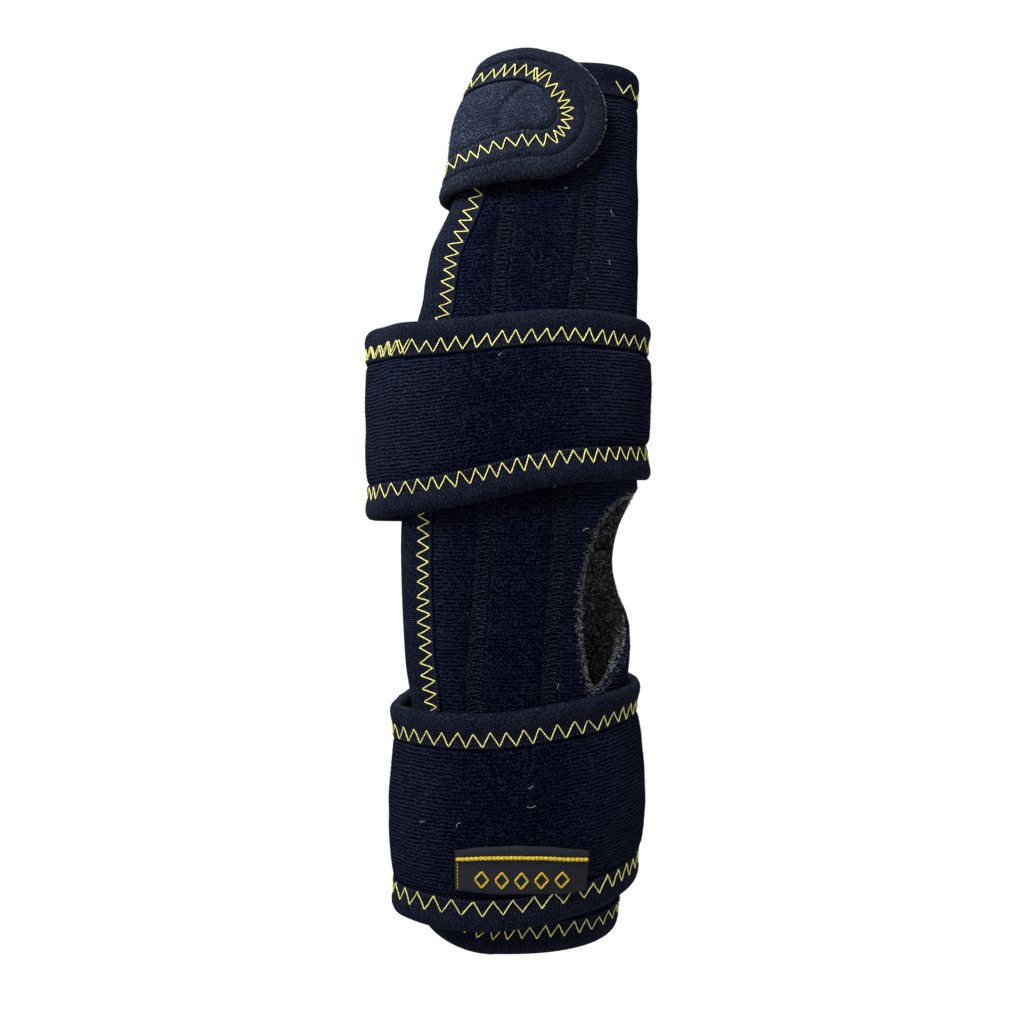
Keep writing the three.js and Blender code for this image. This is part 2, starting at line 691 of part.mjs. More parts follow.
function strapSheet(strap, count) {
  const path = strapEdgePath(strap, strapStep.edge);
  const round = tipShares.map((share) => strap.roundX + share * (strap.tipLength - sheetInset));
  const stations = [...strapSteps(strap, count), ...round];
  const rings = stations.map((x) => {
    const full = courseAt(strap, Math.min(x, strap.roundX), 'reach');
    const half = strapHalf(strap, x, sheetInset);
    const shares = [1, (full - pressWidth) / full, (full - pressWidth - pressRun) / full, 0.25];
    const places = [...shares, ...shares.map((share) => -share).reverse()].map((share) => share * half);
    const faces = places.map((y) => strapFaces(strap, path, x, y));
    const outer = places.map((y, place) => strapPoint(strap, x, y, faces[place].outer));
    const inner = places.map((y, place) => strapPoint(strap, x, y, faces[place].inner));
    return [...outer, ...inner.reverse()];
  });
  return facingOut(loft(rings));
}

function strapTape(strap, count) {
  const place = (x, y, lift) => strapPoint(strap, x, y, lift);
  return tapeMesh(foldedTape(strapEdgePath(strap, count), strapEdgeTop, place, false), false);
}

// A plain hook pad under the tip, inside the tape.
function strapTab(strap, count) {
  const start = tabStartX(strap);
  const end = tabEndX(strap);
  const inner = strapSteps(strap, count).filter((x) => x > start + 1 && x < end - 1);
  const rings = [start, ...inner, end].map((x) => {
    const half = strapHalf(strap, x, hookTab.inset);
    const places = [1, 0.4, -0.4, -1].map((share) => share * half);
    const outer = places.map((y) => strapPoint(strap, x, y, hookTab.thickness));
    const under = places.map((y) => strapPoint(strap, x, y, 0));
    return [...outer, ...under.reverse()];
  });
  return facingOut(loft(rings));
}

// The small woven label on the wrist strap. It lies level, at its real width on the strap's outer face.
function labelPlate(strap) {
  const lift = strapThickness + strapCrown + strapClearance;
  const middleX = (strap.start - label.turn) * strap.girth;
  const levelY = (x) => label.fromEdge - strap.width / 2 - courseAt(strap, x, 'rise');
  const stretch = strapPoint(strap, middleX, 0, lift).distanceTo(strapPoint(strap, middleX + 1, 0, lift));
  const steps = 7;
  const rings = Array.from({ length: steps }, (_, step) => {
    const x = middleX + (label.width / stretch) * (step / (steps - 1) - 0.5);
    const places = [0.5, -0.5].map((share) => levelY(x) + share * label.height);
    const outer = places.map((y) => strapPoint(strap, x, y, lift + label.thickness));
    const under = places.map((y) => strapPoint(strap, x, y, lift));
    return [...outer, ...under.reverse()];
  });
  return facingOut(loft(rings));
}

// Assembly

const splint = new THREE.Group();

function add(name, geometry, material) {
  const mesh = new THREE.Mesh(geometry, material);
  mesh.name = name;
  splint.add(mesh);
}

add('splint_body', pierced(panelSheet(panelFaces), 0), knitCloth);
add('fleece_lining', pierced(panelSheet(liningFaces), -thumbHole.liningShows), greyFleece);
add('body_binding', tapeMesh(foldedTape(panelEdge, panelEdgeTop, panelPoint, true), true), smoothTape);

const straps = [
  { name: 'finger_strap', shape: strapFrame(fingerStrap), steps: 17, cloth: plushCloth },
  { name: 'palm_strap', shape: strapFrame(palmStrap), steps: 25, cloth: knitCloth },
  { name: 'wrist_strap', shape: strapFrame(wristStrap), steps: 25, cloth: knitCloth },
];
straps.forEach(({ name, shape, steps, cloth }) => {
  add(name, strapSheet(shape, steps), cloth);
  add(`${name}_binding`, strapTape(shape, steps), smoothTape);
  add(`${name.replace('strap', 'hook_tab')}`, strapTab(shape, steps), hookPlastic);
});
add('woven_label', labelPlate(straps[2].shape), wovenCloth);

export default splint;
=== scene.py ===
# A soft splint worn on the right hand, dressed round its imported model. +Z points to the fingertips, -Y out
# of the palm side and +X to the thumb. Shapes are worked out in millimetres and stored in metres.
import math

import bpy
import numpy as np
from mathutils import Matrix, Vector
from mathutils.geometry import delaunay_2d_cdt


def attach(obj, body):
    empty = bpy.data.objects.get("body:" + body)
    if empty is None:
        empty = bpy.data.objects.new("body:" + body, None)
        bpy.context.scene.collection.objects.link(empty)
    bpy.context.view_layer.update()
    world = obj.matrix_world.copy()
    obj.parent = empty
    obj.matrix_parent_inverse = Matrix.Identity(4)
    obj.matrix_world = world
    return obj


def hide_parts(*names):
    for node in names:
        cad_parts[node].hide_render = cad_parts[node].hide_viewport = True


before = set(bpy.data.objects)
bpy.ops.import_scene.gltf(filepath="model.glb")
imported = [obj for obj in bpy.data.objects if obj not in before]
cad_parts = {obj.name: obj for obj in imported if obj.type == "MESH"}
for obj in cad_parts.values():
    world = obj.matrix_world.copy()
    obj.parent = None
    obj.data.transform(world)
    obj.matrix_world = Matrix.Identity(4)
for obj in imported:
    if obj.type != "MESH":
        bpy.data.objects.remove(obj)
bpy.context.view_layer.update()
MM = 0.001

# Driving dimensions of the hollow
SPLINT_LENGTH = 270
HEM_BELOW_ORIGIN = 41
WRIST = {"breadth": 68, "depth": 42, "squareness": 2.2}
PALM = {"breadth": 78, "depth": 31, "squareness": 2.6}
FINGERS = {"breadth": 53, "depth": 20, "squareness": 2.6}

# Driving dimensions of the cloth
GAP = 0.1
LINING = 1.0
PANEL = 2.3
PRESSED = 0.7
STRAP = 3.0
STRAP_CROWN = 0.4
STRAP_PRESSED = 0.6
TAPE = {"thickness": 0.7, "width": 9.9, "round": 2.0, "roll": 0.45, "pinch": 0.4, "raw_edge": 0.4}
STITCH = {"inset": 7.3, "radius": 0.15, "rise": 0.2, "sink": 0.12}
# Where the tape's outer face rises or sinks: distance in from the fold, and half the width.
TAPE_HUMPS = {"roll": (3.0, 2.3), "pinch": (STITCH["inset"], 1.9), "ring": (4.1, 0.5), "by_ring": (5.3, 0.9)}
PUCKER = {"depth": 0.1, "length": 4.2, "place": (5.0, 2.0), "soft_depth": 0.14, "soft_size": 9}
# How unevenly the zigzag is sewn: shares of a leg, of its reach and of the thread, and a bow in millimetres.
UNEVEN = {"step": 0.1, "reach": 0.08, "lean": 0.03, "bow": 0.08, "radius": 0.12}
CORNER = {"across": 22, "along": 14.5}
CHANNEL = {
    "rise": 0.6,
    "half": 2.4,
    "dip": 0.4,
    "groove": 0.6,
    "groove_half": 0.55,
    "deep_share": 1.25,
    "shallow_share": 0.8,
    "ripple": 0.16,
    "ripple_half": 1.2,
    "ripple_length": 2.6,
}
SEAM_THREAD = {
    "from_ends": 9,
    "stitch": 2.7,
    "loop_reach": 2.15,
    "loop_radius": 0.2,
    "loop_rise": 0.16,
    "needle_offset": 2.5,
    "needle_radius": 0.19,
}
THUMB_HOLE = {"length": 62.5, "width": 37, "middle": 0.396, "around_palm": 6.4, "lining_shows": 2.0}
SEAT_ON_PANEL = 4.85
STRAP_DROP = {"rest": 0.5, "lead": 1.5, "run": 10}
THUMB_SIDE_DIP = {"depth": 0.8, "starts": -0.16, "full": -0.06, "leaves": 0.08, "ends": 0.13}
LAP_RUN = 14
LAP_SPARE = 0.75
HOOK_TAB = {"thickness": 1.3, "from_tip": 12.7, "length": 17, "lead": 4}
LABEL = {
    "width": 39,
    "height": 11.9,
    "thickness": 0.7,
    "turn": 0.236,
    "from_edge": 19,
    "tilt": -0.08,
    "bulge": 0.2,
}
LOZENGES = {"count": 5, "reach": 0.3, "half": 0.05, "height": 0.2, "up": -0.14, "radius": 0.3}
STRIPE = {"up": 0.3, "radius": 0.38, "bead": 0.2, "beads": 31}

# Soft unevenness of the padded cloth: height, size of the humps and seed of each layer.
PANEL_SOFT = [(0.22, 16, 3), (0.12, 6, 4)]
STRAP_SOFT = [(0.2, 18, 11), (0.1, 6, 12)]
CROWN_RUN = 9

# How finely shapes are drawn: steps along edges, and the gap kept between an edge and the points inside it.
EDGE_STEP = 1.3
CLEAR_OF_EDGE = 0.55
BATCH = 4000

# Sections of the hollow: height as a share of the length, zone, then the reaches to the little-finger side,
# the thumb side, the palm side and the back, as shares of the zone's breadth and depth.
HOLLOW = [
    (0.0, WRIST, 0.491, 0.429, 0.476, 0.452),
    (0.078, WRIST, 0.503, 0.485, 0.5, 0.476),
    (0.152, WRIST, 0.506, 0.5, 0.512, 0.488),
    (0.256, WRIST, 0.488, 0.482, 0.483, 0.462),
    (0.319, PALM, 0.462, 0.438, 0.59, 0.555),
    (0.381, PALM, 0.496, 0.453, 0.555, 0.516),
    (0.467, PALM, 0.54, 0.479, 0.526, 0.49),
    (0.578, PALM, 0.548, 0.46, 0.51, 0.477),
    (0.693, PALM, 0.545, 0.469, 0.458, 0.439),
    (0.733, FINGERS, 0.679, 0.695, 0.61, 0.61),
    (0.781, FINGERS, 0.519, 0.695, 0.54, 0.55),
    (0.848, FINGERS, 0.3, 0.695, 0.48, 0.51),
    (0.937, FINGERS, 0.225, 0.695, 0.45, 0.49),
    (0.97, FINGERS, 0.165, 0.693, 0.445, 0.485),
    (1.0, FINGERS, 0.075, 0.688, 0.44, 0.48),
]

# Lines on the wrap: height, then the front edge, the little-finger seam and the thumb seam as shares of a
# turn from the thumb side over the palm, and the back edge counted the other way.
LINES = [
    (0.0, 0.41, 0.31, 0.2, 0.4),
    (0.28, 0.427, 0.309, 0.186, 0.405),
    (0.39, 0.424, 0.292, 0.171, 0.4),
    (0.485, 0.413, 0.278, 0.161, 0.395),
    (0.6, 0.399, 0.266, 0.147, 0.39),
    (0.7, 0.393, 0.261, 0.136, 0.395),
    (0.756, 0.43, 0.285, 0.134, 0.41),
    (0.801, 0.462, 0.309, 0.137, 0.425),
    (0.853, 0.476, 0.334, 0.145, 0.435),
    (0.937, 0.45, 0.322, 0.152, 0.415),
    (1.0, 0.45, 0.3, 0.165, 0.44),
]
FRONT_EDGE, LITTLE_SEAM, THUMB_SEAM, BACK_EDGE = 1, 2, 3, 4

# The thumb hole's outline: shares of its width over the palm and of its length towards the fingertips.
THUMB_OUTLINE = [
    (0.34, -0.5),
    (0.14, -0.385),
    (-0.15, -0.225),
    (-0.38, -0.06),
    (-0.5, 0.13),
    (-0.44, 0.34),
    (-0.22, 0.475),
    (0.1, 0.47),
    (0.34, 0.35),
    (0.47, 0.14),
    (0.5, -0.13),
    (0.45, -0.38),
]

# Straps. A course row holds the turn, the rise of the middle line and half the width, both as shares of the
# strap's width.
FINGER_STRAP = {
    "name": "finger_strap",
    "width": 42.5,
    "middle": 0.9285,
    "start": 0.8,
    "tip": 0.116,
    "tip_length": 21,
    "tip_roundness": 2.0,
    "laps": False,
    "course": [
        (0.8, 0.0, 0.5),
        (0.5, 0.0, 0.5),
        (0.35, 0.03, 0.485),
        (0.22, 0.0, 0.418),
        (0.116, 0.0, 0.418),
    ],
}
PALM_STRAP = {
    "name": "palm_strap",
    "width": 60,
    "middle": 0.598,
    "start": 0.8,
    "tip": -0.375,
    "tip_length": 24,
    "tip_roundness": 2.4,
    "laps": True,
    "course": [
        (0.8, -0.065, 0.5),
        (0.5, -0.052, 0.502),
        (0.36, -0.028, 0.478),
        (0.165, 0.065, 0.44),
        (0.0, 0.075, 0.413),
        (-0.375, 0.09, 0.38),
    ],
}
WRIST_STRAP = {
    "name": "wrist_strap",
    "width": 66,
    "middle": 0.151,
    "start": 0.8,
    "tip": -0.375,
    "tip_length": 26,
    "tip_roundness": 2.4,
    "laps": True,
    "course": [
        (0.8, -0.04, 0.49),
        (0.5, 0.0, 0.475),
        (0.28, -0.003, 0.482),
        (0.14, 0.052, 0.479),
        (0.0, 0.092, 0.474),
        (-0.375, 0.085, 0.45),
    ],
}


# Curves


def smooth_step(value, low, high):
    share = np.clip((value - low) / (high - low), 0, 1)
    return share * share * (3 - 2 * share)


def bump(value, at=0.0, half=1.0):
    """A soft hump, 1 high at its middle."""
    return np.exp(-(((value - at) / half) ** 2))


def lerp(low, high, share):
    return low + (high - low) * share


def table_curve(rows, read, at):
    """A smooth curve through rows that begin with their places. read gives a row's value, and the slope at
    each row is taken across its two neighbours."""
    places = np.array([row[0] for row in rows], float)
    values = np.array([read(row) for row in rows], float)
    if places[0] > places[-1]:
        places, values = places[::-1], values[::-1]
    last = len(places) - 1
    before = np.maximum(np.arange(last + 1) - 1, 0)
    after = np.minimum(np.arange(last + 1) + 1, last)
    slopes = (values[after] - values[before]) / (places[after] - places[before])
    at = np.clip(at, places[0], places[-1])
    low = np.clip(np.searchsorted(places, at, side="right") - 1, 0, last - 1)
    step = places[low + 1] - places[low]
    u = (at - places[low]) / step
    start = (2 * u**3 - 3 * u**2 + 1) * values[low] + (u**3 - 2 * u**2 + u) * slopes[low] * step
    end = (3 * u**2 - 2 * u**3) * values[low + 1] + (u**3 - u**2) * slopes[low + 1] * step
    return start + end


def soft_noise(u, v, scale, seed):
    """Smooth waves in many directions, about -1 to 1, with humps of the given size."""
    random = np.random.default_rng(seed)
    total = np.zeros(np.broadcast(u, v).shape)
    waves = 9
    for _ in range(waves):
        angle, phase = random.uniform(0, 2 * math.pi, 2)
        length = scale * random.uniform(1.4, 3.2)
        total = total + np.sin((u * math.cos(angle) + v * math.sin(angle)) * 2 * math.pi / length + phase)
    return total / math.sqrt(waves / 2) / 1.6


def soft_layers(u, v, layers):
    return sum(height * soft_noise(u, v, size, seed) for height, size, seed in layers)


def unit(vectors):
    return vectors / np.linalg.norm(vectors, axis=1)[:, None]


def spans_of(path):
    """Lengths along a path to each of its points."""
    return np.concatenate([[0], np.cumsum(np.linalg.norm(np.diff(path, axis=0), axis=1))])


def looped(path):
    """A closed path with its first point again at its end."""
    return np.concatenate([path, path[:1]])


def height_of(z):
    return (z + HEM_BELOW_ORIGIN) / SPLINT_LENGTH


def z_of(height):
    return height * SPLINT_LENGTH - HEM_BELOW_ORIGIN


HEM_Z = z_of(0)
END_Z = z_of(1)


# The hollow's wall, kept as a fine grid of heights and turns

WALL_STEP = 0.5
WALL_TURNS = 1440
WALL_SPARE = (2, 4)


def rim(angle, half, palm, back, power):
    across = np.cos(angle)
    outward = -np.sin(angle)
    depth = np.where(outward < 0, palm, back)
    reach = (np.abs(across / half) ** power + np.abs(outward / depth) ** power) ** (-1 / power)
    return reach * across, reach * outward, depth


def build_wall():
    z = np.arange(HEM_Z - WALL_SPARE[0], END_Z + WALL_SPARE[1], WALL_STEP)

    def column(read):
        return table_curve(HOLLOW, read, height_of(z))[:, None]

    little = column(lambda row: row[2] * row[1]["breadth"])
    thumb = column(lambda row: row[3] * row[1]["breadth"])
    palm = column(lambda row: row[4] * row[1]["depth"])
    back = column(lambda row: row[5] * row[1]["depth"])
    power = column(lambda row: row[1]["squareness"])
    half = (thumb + little) / 2
    angles = np.linspace(0, 2 * math.pi, WALL_TURNS + 1)[None, :]
    x, y, _ = rim(angles, half, palm, back, power)
    spans = np.hypot(np.diff(x, axis=1), np.diff(y, axis=1))
    lengths = np.concatenate([np.zeros((len(z), 1)), np.cumsum(spans, axis=1)], axis=1)
    turns = np.linspace(0, 1, WALL_TURNS + 1)
    even = np.array([np.interp(turns * row[-1], row, angles[0]) for row in lengths])
    x, y, depth = rim(even, half, palm, back, power)
    normal_x = np.sign(x) * np.abs(x) ** (power - 1) / half**power
    normal_y = np.sign(y) * np.abs(y) ** (power - 1) / depth**power
    size = np.hypot(normal_x, normal_y)
    grid = np.stack([x + (thumb - little) / 2, y, normal_x / size, normal_y / size], axis=2)
    return z, grid, lengths[:, -1]


WALL_Z, WALL, WALL_GIRTH = build_wall()


def girth_at(z):
    return np.interp(z, WALL_Z, WALL_GIRTH)


def wall_point(turn, z, lift):
    """Points at a share of a turn round the hollow and at height z, lifted off its wall."""
    turn, z, lift = np.broadcast_arrays(np.asarray(turn, float), z, lift)
    row = np.clip((z - WALL_Z[0]) / WALL_STEP, 0, len(WALL_Z) - 1.001)
    place = (turn % 1.0) * WALL_TURNS
    low_row, low_place = row.astype(int), np.minimum(place.astype(int), WALL_TURNS - 1)
    a, b = (row - low_row)[..., None], (place - low_place)[..., None]
    near = WALL[low_row, low_place] * (1 - b) + WALL[low_row, low_place + 1] * b
    far = WALL[low_row + 1, low_place] * (1 - b) + WALL[low_row + 1, low_place + 1] * b
    at = near * (1 - a) + far * a
    size = np.hypot(at[..., 2], at[..., 3])
    x = at[..., 0] + at[..., 2] / size * lift
    y = at[..., 1] + at[..., 3] / size * lift
    return np.stack([x, y, z], axis=-1)


# Meshes


def read_mesh(mesh):
    """A mesh's points in metres, and its triangles."""
    mesh.calc_loop_triangles()
    corners = np.empty(len(mesh.vertices) * 3)
    mesh.vertices.foreach_get("co", corners)
    triangles = np.empty(len(mesh.loop_triangles) * 3, int)
    mesh.loop_triangles.foreach_get("vertices", triangles)
    return corners.reshape(-1, 3), triangles.reshape(-1, 3)


def make_piece(name, points, faces, cloth=None, smooth_angle=50):
    """A mesh object from points in millimetres, with the cloth's own coordinates kept on its points."""
    mesh = bpy.data.meshes.new(name)
    mesh.from_pydata((np.asarray(points) * MM).tolist(), [], [list(map(int, face)) for face in faces])
    mesh.update()
    corners, triangles = read_mesh(mesh)
    a, b, c = (corners[triangles[:, corner]] for corner in range(3))
    if np.sum(a * np.cross(b, c)) < 0:
        mesh.flip_normals()
    mesh.polygons.foreach_set("use_smooth", np.ones(len(mesh.polygons), bool))
    if smooth_angle:
        mesh.set_sharp_from_angle(angle=math.radians(smooth_angle))
    if cloth is not None:
        attribute = mesh.attributes.new("cloth", "FLOAT_VECTOR", "POINT")
        attribute.data.foreach_set("vector", np.asarray(cloth, float).ravel())
    piece = bpy.data.objects.new(name, mesh)
    bpy.context.scene.collection.objects.link(piece)
    return piece


def join(parts):
    """Several (points, faces, cloth) as one."""
    points, faces, cloth, count = [], [], [], 0
    for part_points, part_faces, part_cloth in parts:
        points.append(part_points)
        cloth.append(part_cloth)
        faces.extend([[corner + count for corner in face] for face in part_faces])
        count += len(part_points)
    return np.concatenate(points), faces, np.concatenate(cloth)


def grid_faces(rows, columns, closed_rows=False, closed_columns=False):
    faces = []
    for row in range(rows if closed_rows else rows - 1):
        for column in range(columns if closed_columns else columns - 1):
            next_row, next_column = (row + 1) % rows, (column + 1) % columns
            faces.append(
                [
                    row * columns + column,
                    row * columns + next_column,
                    next_row * columns + next_column,
                    next_row * columns + column,
                ]
            )
    return faces


def closed_sheet(top, under):
    """Points and faces of a thick sheet between two grids of the same shape, closed on all sides."""
    points = np.concatenate([top, under[:, ::-1]], axis=1)
    rows, columns = points.shape[:2]
    faces = grid_faces(rows, columns, closed_columns=True)
    for row, flip in ((0, False), (rows - 1, True)):
        for column in range(columns // 2 - 1):
            facing = columns - 1 - column
            face = [row * columns + corner for corner in (column, facing, facing - 1, column + 1)]
            faces.append(face[::-1] if flip else face)
    return points.reshape(-1, 3), faces


def tube(centres, outward, radius, sides=6):
    """A closed round tube along centres. outward is the surface's direction at each of them."""
    centres = np.asarray(centres, float)
    along = unit(np.gradient(centres, axis=0))
    side = unit(np.cross(along, outward))
    up = np.cross(side, along)
    angles = np.arange(sides) * 2 * math.pi / sides
    radius = np.broadcast_to(radius, len(centres))[:, None, None]
    across = np.cos(angles)[None, :, None] * side[:, None] + np.sin(angles)[None, :, None] * up[:, None]
    rings = centres[:, None] + radius * across
    faces = grid_faces(len(centres), sides, closed_columns=True)
    last = (len(centres) - 1) * sides
    faces.append(list(range(sides))[::-1])
    faces.append([last + corner for corner in range(sides)])
    lengths = np.repeat(spans_of(centres), sides)
    cloth = np.stack([lengths, np.tile(angles, len(centres)), 0 * lengths], axis=1)
    return rings.reshape(-1, 3), faces, cloth


# Flat paths


def resample(path, spacing, closed=False):
    path = looped(path) if closed else np.asarray(path, float)
    spans = spans_of(path)
    count = max(int(round(spans[-1] / spacing)), 4)
    at = np.linspace(0, spans[-1], count + 1)
    if closed:
        at = at[:-1]
    return np.stack([np.interp(at, spans, path[:, axis]) for axis in range(path.shape[1])], axis=1)


def inward_of(path, closed):
    """Directions to the left of a flat path, smoothed a little."""
    if closed:
        along = np.roll(path, -2, axis=0) - np.roll(path, 2, axis=0)
    else:
        along = np.gradient(path, axis=0)
    return unit(np.stack([-along[:, 1], along[:, 0]], axis=1))


def distance_to(path, x, y):
    """Distance of each point to the nearest place of a flat path."""
    starts, runs = path[:-1], np.diff(path, axis=0)
    squares = np.sum(runs**2, axis=1)
    shape = np.broadcast(x, y).shape
    points = np.stack([np.broadcast_to(x, shape).ravel(), np.broadcast_to(y, shape).ravel()], axis=1)
    found = np.empty(len(points))
    for first in range(0, len(points), BATCH):
        some = points[first : first + BATCH, None, :] - starts[None]
        share = np.clip(np.sum(some * runs[None], axis=2) / squares[None], 0, 1)
        gaps = np.linalg.norm(some - runs[None] * share[..., None], axis=2)
        found[first : first + BATCH] = np.min(gaps, axis=1)
    return found.reshape(shape)


def is_inside(polygon, x, y):
    inside = np.zeros(len(x), bool)
    for (ax, ay), (bx, by) in zip(polygon, np.roll(polygon, -1, axis=0)):
        crosses = (ay > y) != (by > y)
        if ay != by:
            inside ^= crosses & (x < (bx - ax) * (y - ay) / (by - ay) + ax)
    return inside


# The tape's profile, as heights over what it is folded round


def tape_top(distance, edge_top, ring=0.0):
    """Height of the tape's outer face at a distance in from the fold: a soft roll, then the stitched pinch.
    A ring is a groove between the two, where the tape's folded part ends under it."""
    top = edge_top - 0.1 + TAPE["roll"] * bump(distance, *TAPE_HUMPS["roll"])
    top = top - TAPE["pinch"] * bump(distance, *TAPE_HUMPS["pinch"])
    top = top - ring * (bump(distance, *TAPE_HUMPS["ring"]) - 0.35 * bump(distance, *TAPE_HUMPS["by_ring"]))
    top = top - TAPE["raw_edge"] * smooth_step(distance, TAPE["width"] - 1.2, TAPE["width"])
    share = np.clip(1 - distance / TAPE["round"], 0, 1)
    return lerp(edge_top / 2, top, np.sqrt(1 - share**2))


def tape_section(edge_top, ring):
    """Closed section of the folded tape as distances and heights, with 1 for each place that is hidden."""
    width, thickness, turn = TAPE["width"], TAPE["thickness"], TAPE["round"]
    flap, half = width - 0.4, width * 0.5
    near = turn * (1 - np.cos(np.linspace(0, math.pi / 2, 6)))
    far = np.array([2.7, 3.2, 3.65, 4.1, 4.55, 5.1, 5.8, 6.5, 7.2, 8.0, 8.7, 9.2, 9.6, width])
    outer = [(d, tape_top(d, edge_top, ring)) for d in np.concatenate([near, far])]
    under = [(d, edge_top / 2 * (1 - math.sqrt(max(0, 1 - (1 - d / turn) ** 2)))) for d in near[1:]]
    under += [(half, 0.0), (flap, 0.0)]
    within = [(flap, thickness), (half, thickness), (turn, thickness)]
    fold = [(thickness + 0.15, edge_top * share) for share in (0.4, 0.6)]
    lining = [(d, tape_top(d, edge_top, ring) - thickness) for d in (turn, 3.3, 4.3, 5.4, 7.0, 8.6)]
    lining += [(width, tape_top(width, edge_top, ring) - 0.25)]
    section = outer[::-1] + under + within + fold + lining
    hidden = [0.0] * len(outer) + [1.0] * (len(section) - len(outer))
    return np.array(section), np.array(hidden)


def no_extra(x, y):
    return np.zeros(np.broadcast(x, y).shape)


def folded_tape(path, edge_top, place, closed, seed, extra=no_extra, ring=0.0):
    """The tape swept along a flat path, with small puckers where the stitches pull it. extra widens it."""
    section, hidden = tape_section(edge_top, ring)
    inward = inward_of(path, closed)
    spans = spans_of(path)
    distance, height = section[:, 0][None], section[:, 1][None]
    wave = np.sin(spans * 2 * math.pi / PUCKER["length"])[:, None]
    outer_share = smooth_step(height, edge_top * 0.45, edge_top * 0.8)
    pucker = PUCKER["depth"] * wave * bump(distance, *PUCKER["place"]) * outer_share
    soft = soft_noise(spans[:, None], distance * 0.6, PUCKER["soft_size"], seed)
    soft = PUCKER["soft_depth"] * soft * outer_share
    real = distance * (1 + extra(path[:, 0], path[:, 1])[:, None] / TAPE["width"])
    x = path[:, 0][:, None] + inward[:, 0][:, None] * real
    y = path[:, 1][:, None] + inward[:, 1][:, None] * real
    points = place(x, y, height + pucker + soft)
    rows, columns = points.shape[:2]
    faces = grid_faces(rows, columns, closed_rows=closed, closed_columns=True)
    if not closed:
        faces.append(list(range(columns))[::-1])
        faces.append([(rows - 1) * columns + column for column in range(columns)])
    cloth = np.stack(np.broadcast_arrays(spans[:, None], distance, hidden[None]), axis=2)
    return points.reshape(-1, 3), faces, cloth.reshape(-1, 3)


def zigzag(path, edge_top, place, seed, width, pitch, extra=no_extra, inset=STITCH["inset"], lift=0.0):
    """A thread along a flat path: it rises over each leg and dips into the cloth at each point. pitch gives
    the length of two legs at each place of the path."""
    random = np.random.default_rng(seed)
    scale = 1 + extra(path[:, 0], path[:, 1]) / TAPE["width"]
    line = path + inward_of(path, False) * (inset * scale)[:, None]
    spans = spans_of(line)
    legs_before = np.concatenate([[0], np.cumsum(np.diff(spans) * 2 / pitch(path[:, 0], path[:, 1])[1:])])
    legs = int(legs_before[-1])
    counts = np.arange(legs + 1) + random.normal(0, UNEVEN["step"], legs + 1)
    ends = np.interp(counts, legs_before, spans)
    to_side = np.where(np.arange(legs + 1) % 2, 1, -1)
    swing = (width / 2) * random.normal(1, UNEVEN["reach"], legs + 1) * to_side
    share = np.array([0, 0.05, 0.17, 0.36, 0.6, 0.83, 0.95])
    lean = random.normal(0, UNEVEN["lean"], legs)[:, None] * np.sin(2 * math.pi * share)[None]
    at = (ends[:-1, None] + np.diff(ends)[:, None] * (share[None] + lean)).ravel()
    bow = UNEVEN["bow"] * random.normal(0, 1, legs)[:, None] * np.sin(math.pi * share)[None]
    across = (swing[:-1, None] + np.diff(swing)[:, None] * share[None] + bow).ravel()
    rise = STITCH["rise"] * np.sin(math.pi * share) ** 0.5 - STITCH["sink"] * (share == 0)
    normal = inward_of(line, False)
    middle = np.stack([np.interp(at, spans, line[:, axis]) for axis in range(2)], axis=1)
    side = np.stack([np.interp(at, spans, normal[:, axis]) for axis in range(2)], axis=1)
    flat = middle + side * across[:, None]
    distance = inset + across / np.interp(at, spans, scale)
    height = tape_top(distance, edge_top) + np.tile(rise, legs) + lift
    centres = place(flat[:, 0], flat[:, 1], height)
    outward = place(flat[:, 0], flat[:, 1], height + 1) - centres
    thick = random.uniform(1 - UNEVEN["radius"], 1 + UNEVEN["radius"], legs)
    return tube(centres, outward, STITCH["radius"] * np.repeat(thick, len(share)))


# The wrap


def line_at(z, name):
    return table_curve(LINES, lambda row: row[name], height_of(z)) * girth_at(z)


def panel_point(around, z, lift):
    return wall_point(around / girth_at(z), z, lift)


def panel_edge_path():
    """The wrap's edge on its flat pattern, anticlockwise."""
    low, high = HEM_Z + CORNER["along"], END_Z - CORNER["along"]
    sides = np.linspace(low, high, 180)
    angles = np.linspace(0, math.pi / 2, 14)

    def side(z, name, sign, inset):
        return np.stack([sign * (line_at(z, name) - inset), z], axis=1)

    inset = CORNER["across"] * (1 - np.sin(angles))
    hem_z = HEM_Z + CORNER["along"] * (1 - np.cos(angles))
    end_z = END_Z - CORNER["along"] * (1 - np.cos(angles))
    path = np.concatenate(
        [
            side(hem_z, FRONT_EDGE, 1, inset),
            side(sides[1:], FRONT_EDGE, 1, 0)[:-1],
            side(end_z, FRONT_EDGE, 1, inset)[::-1],
            side(end_z, BACK_EDGE, -1, inset),
            side(sides[1:], BACK_EDGE, -1, 0)[:-1][::-1],
            side(hem_z, BACK_EDGE, -1, inset)[::-1],
        ]
    )
    return resample(path, EDGE_STEP, closed=True)


PANEL_EDGE_TOP = 2 * TAPE["thickness"] + (LINING + PANEL) * PRESSED + 3 * GAP
PANEL_EDGE = panel_edge_path()
CLOSED_EDGE = looped(PANEL_EDGE)
SHEET_INSET = TAPE["thickness"] + 0.5


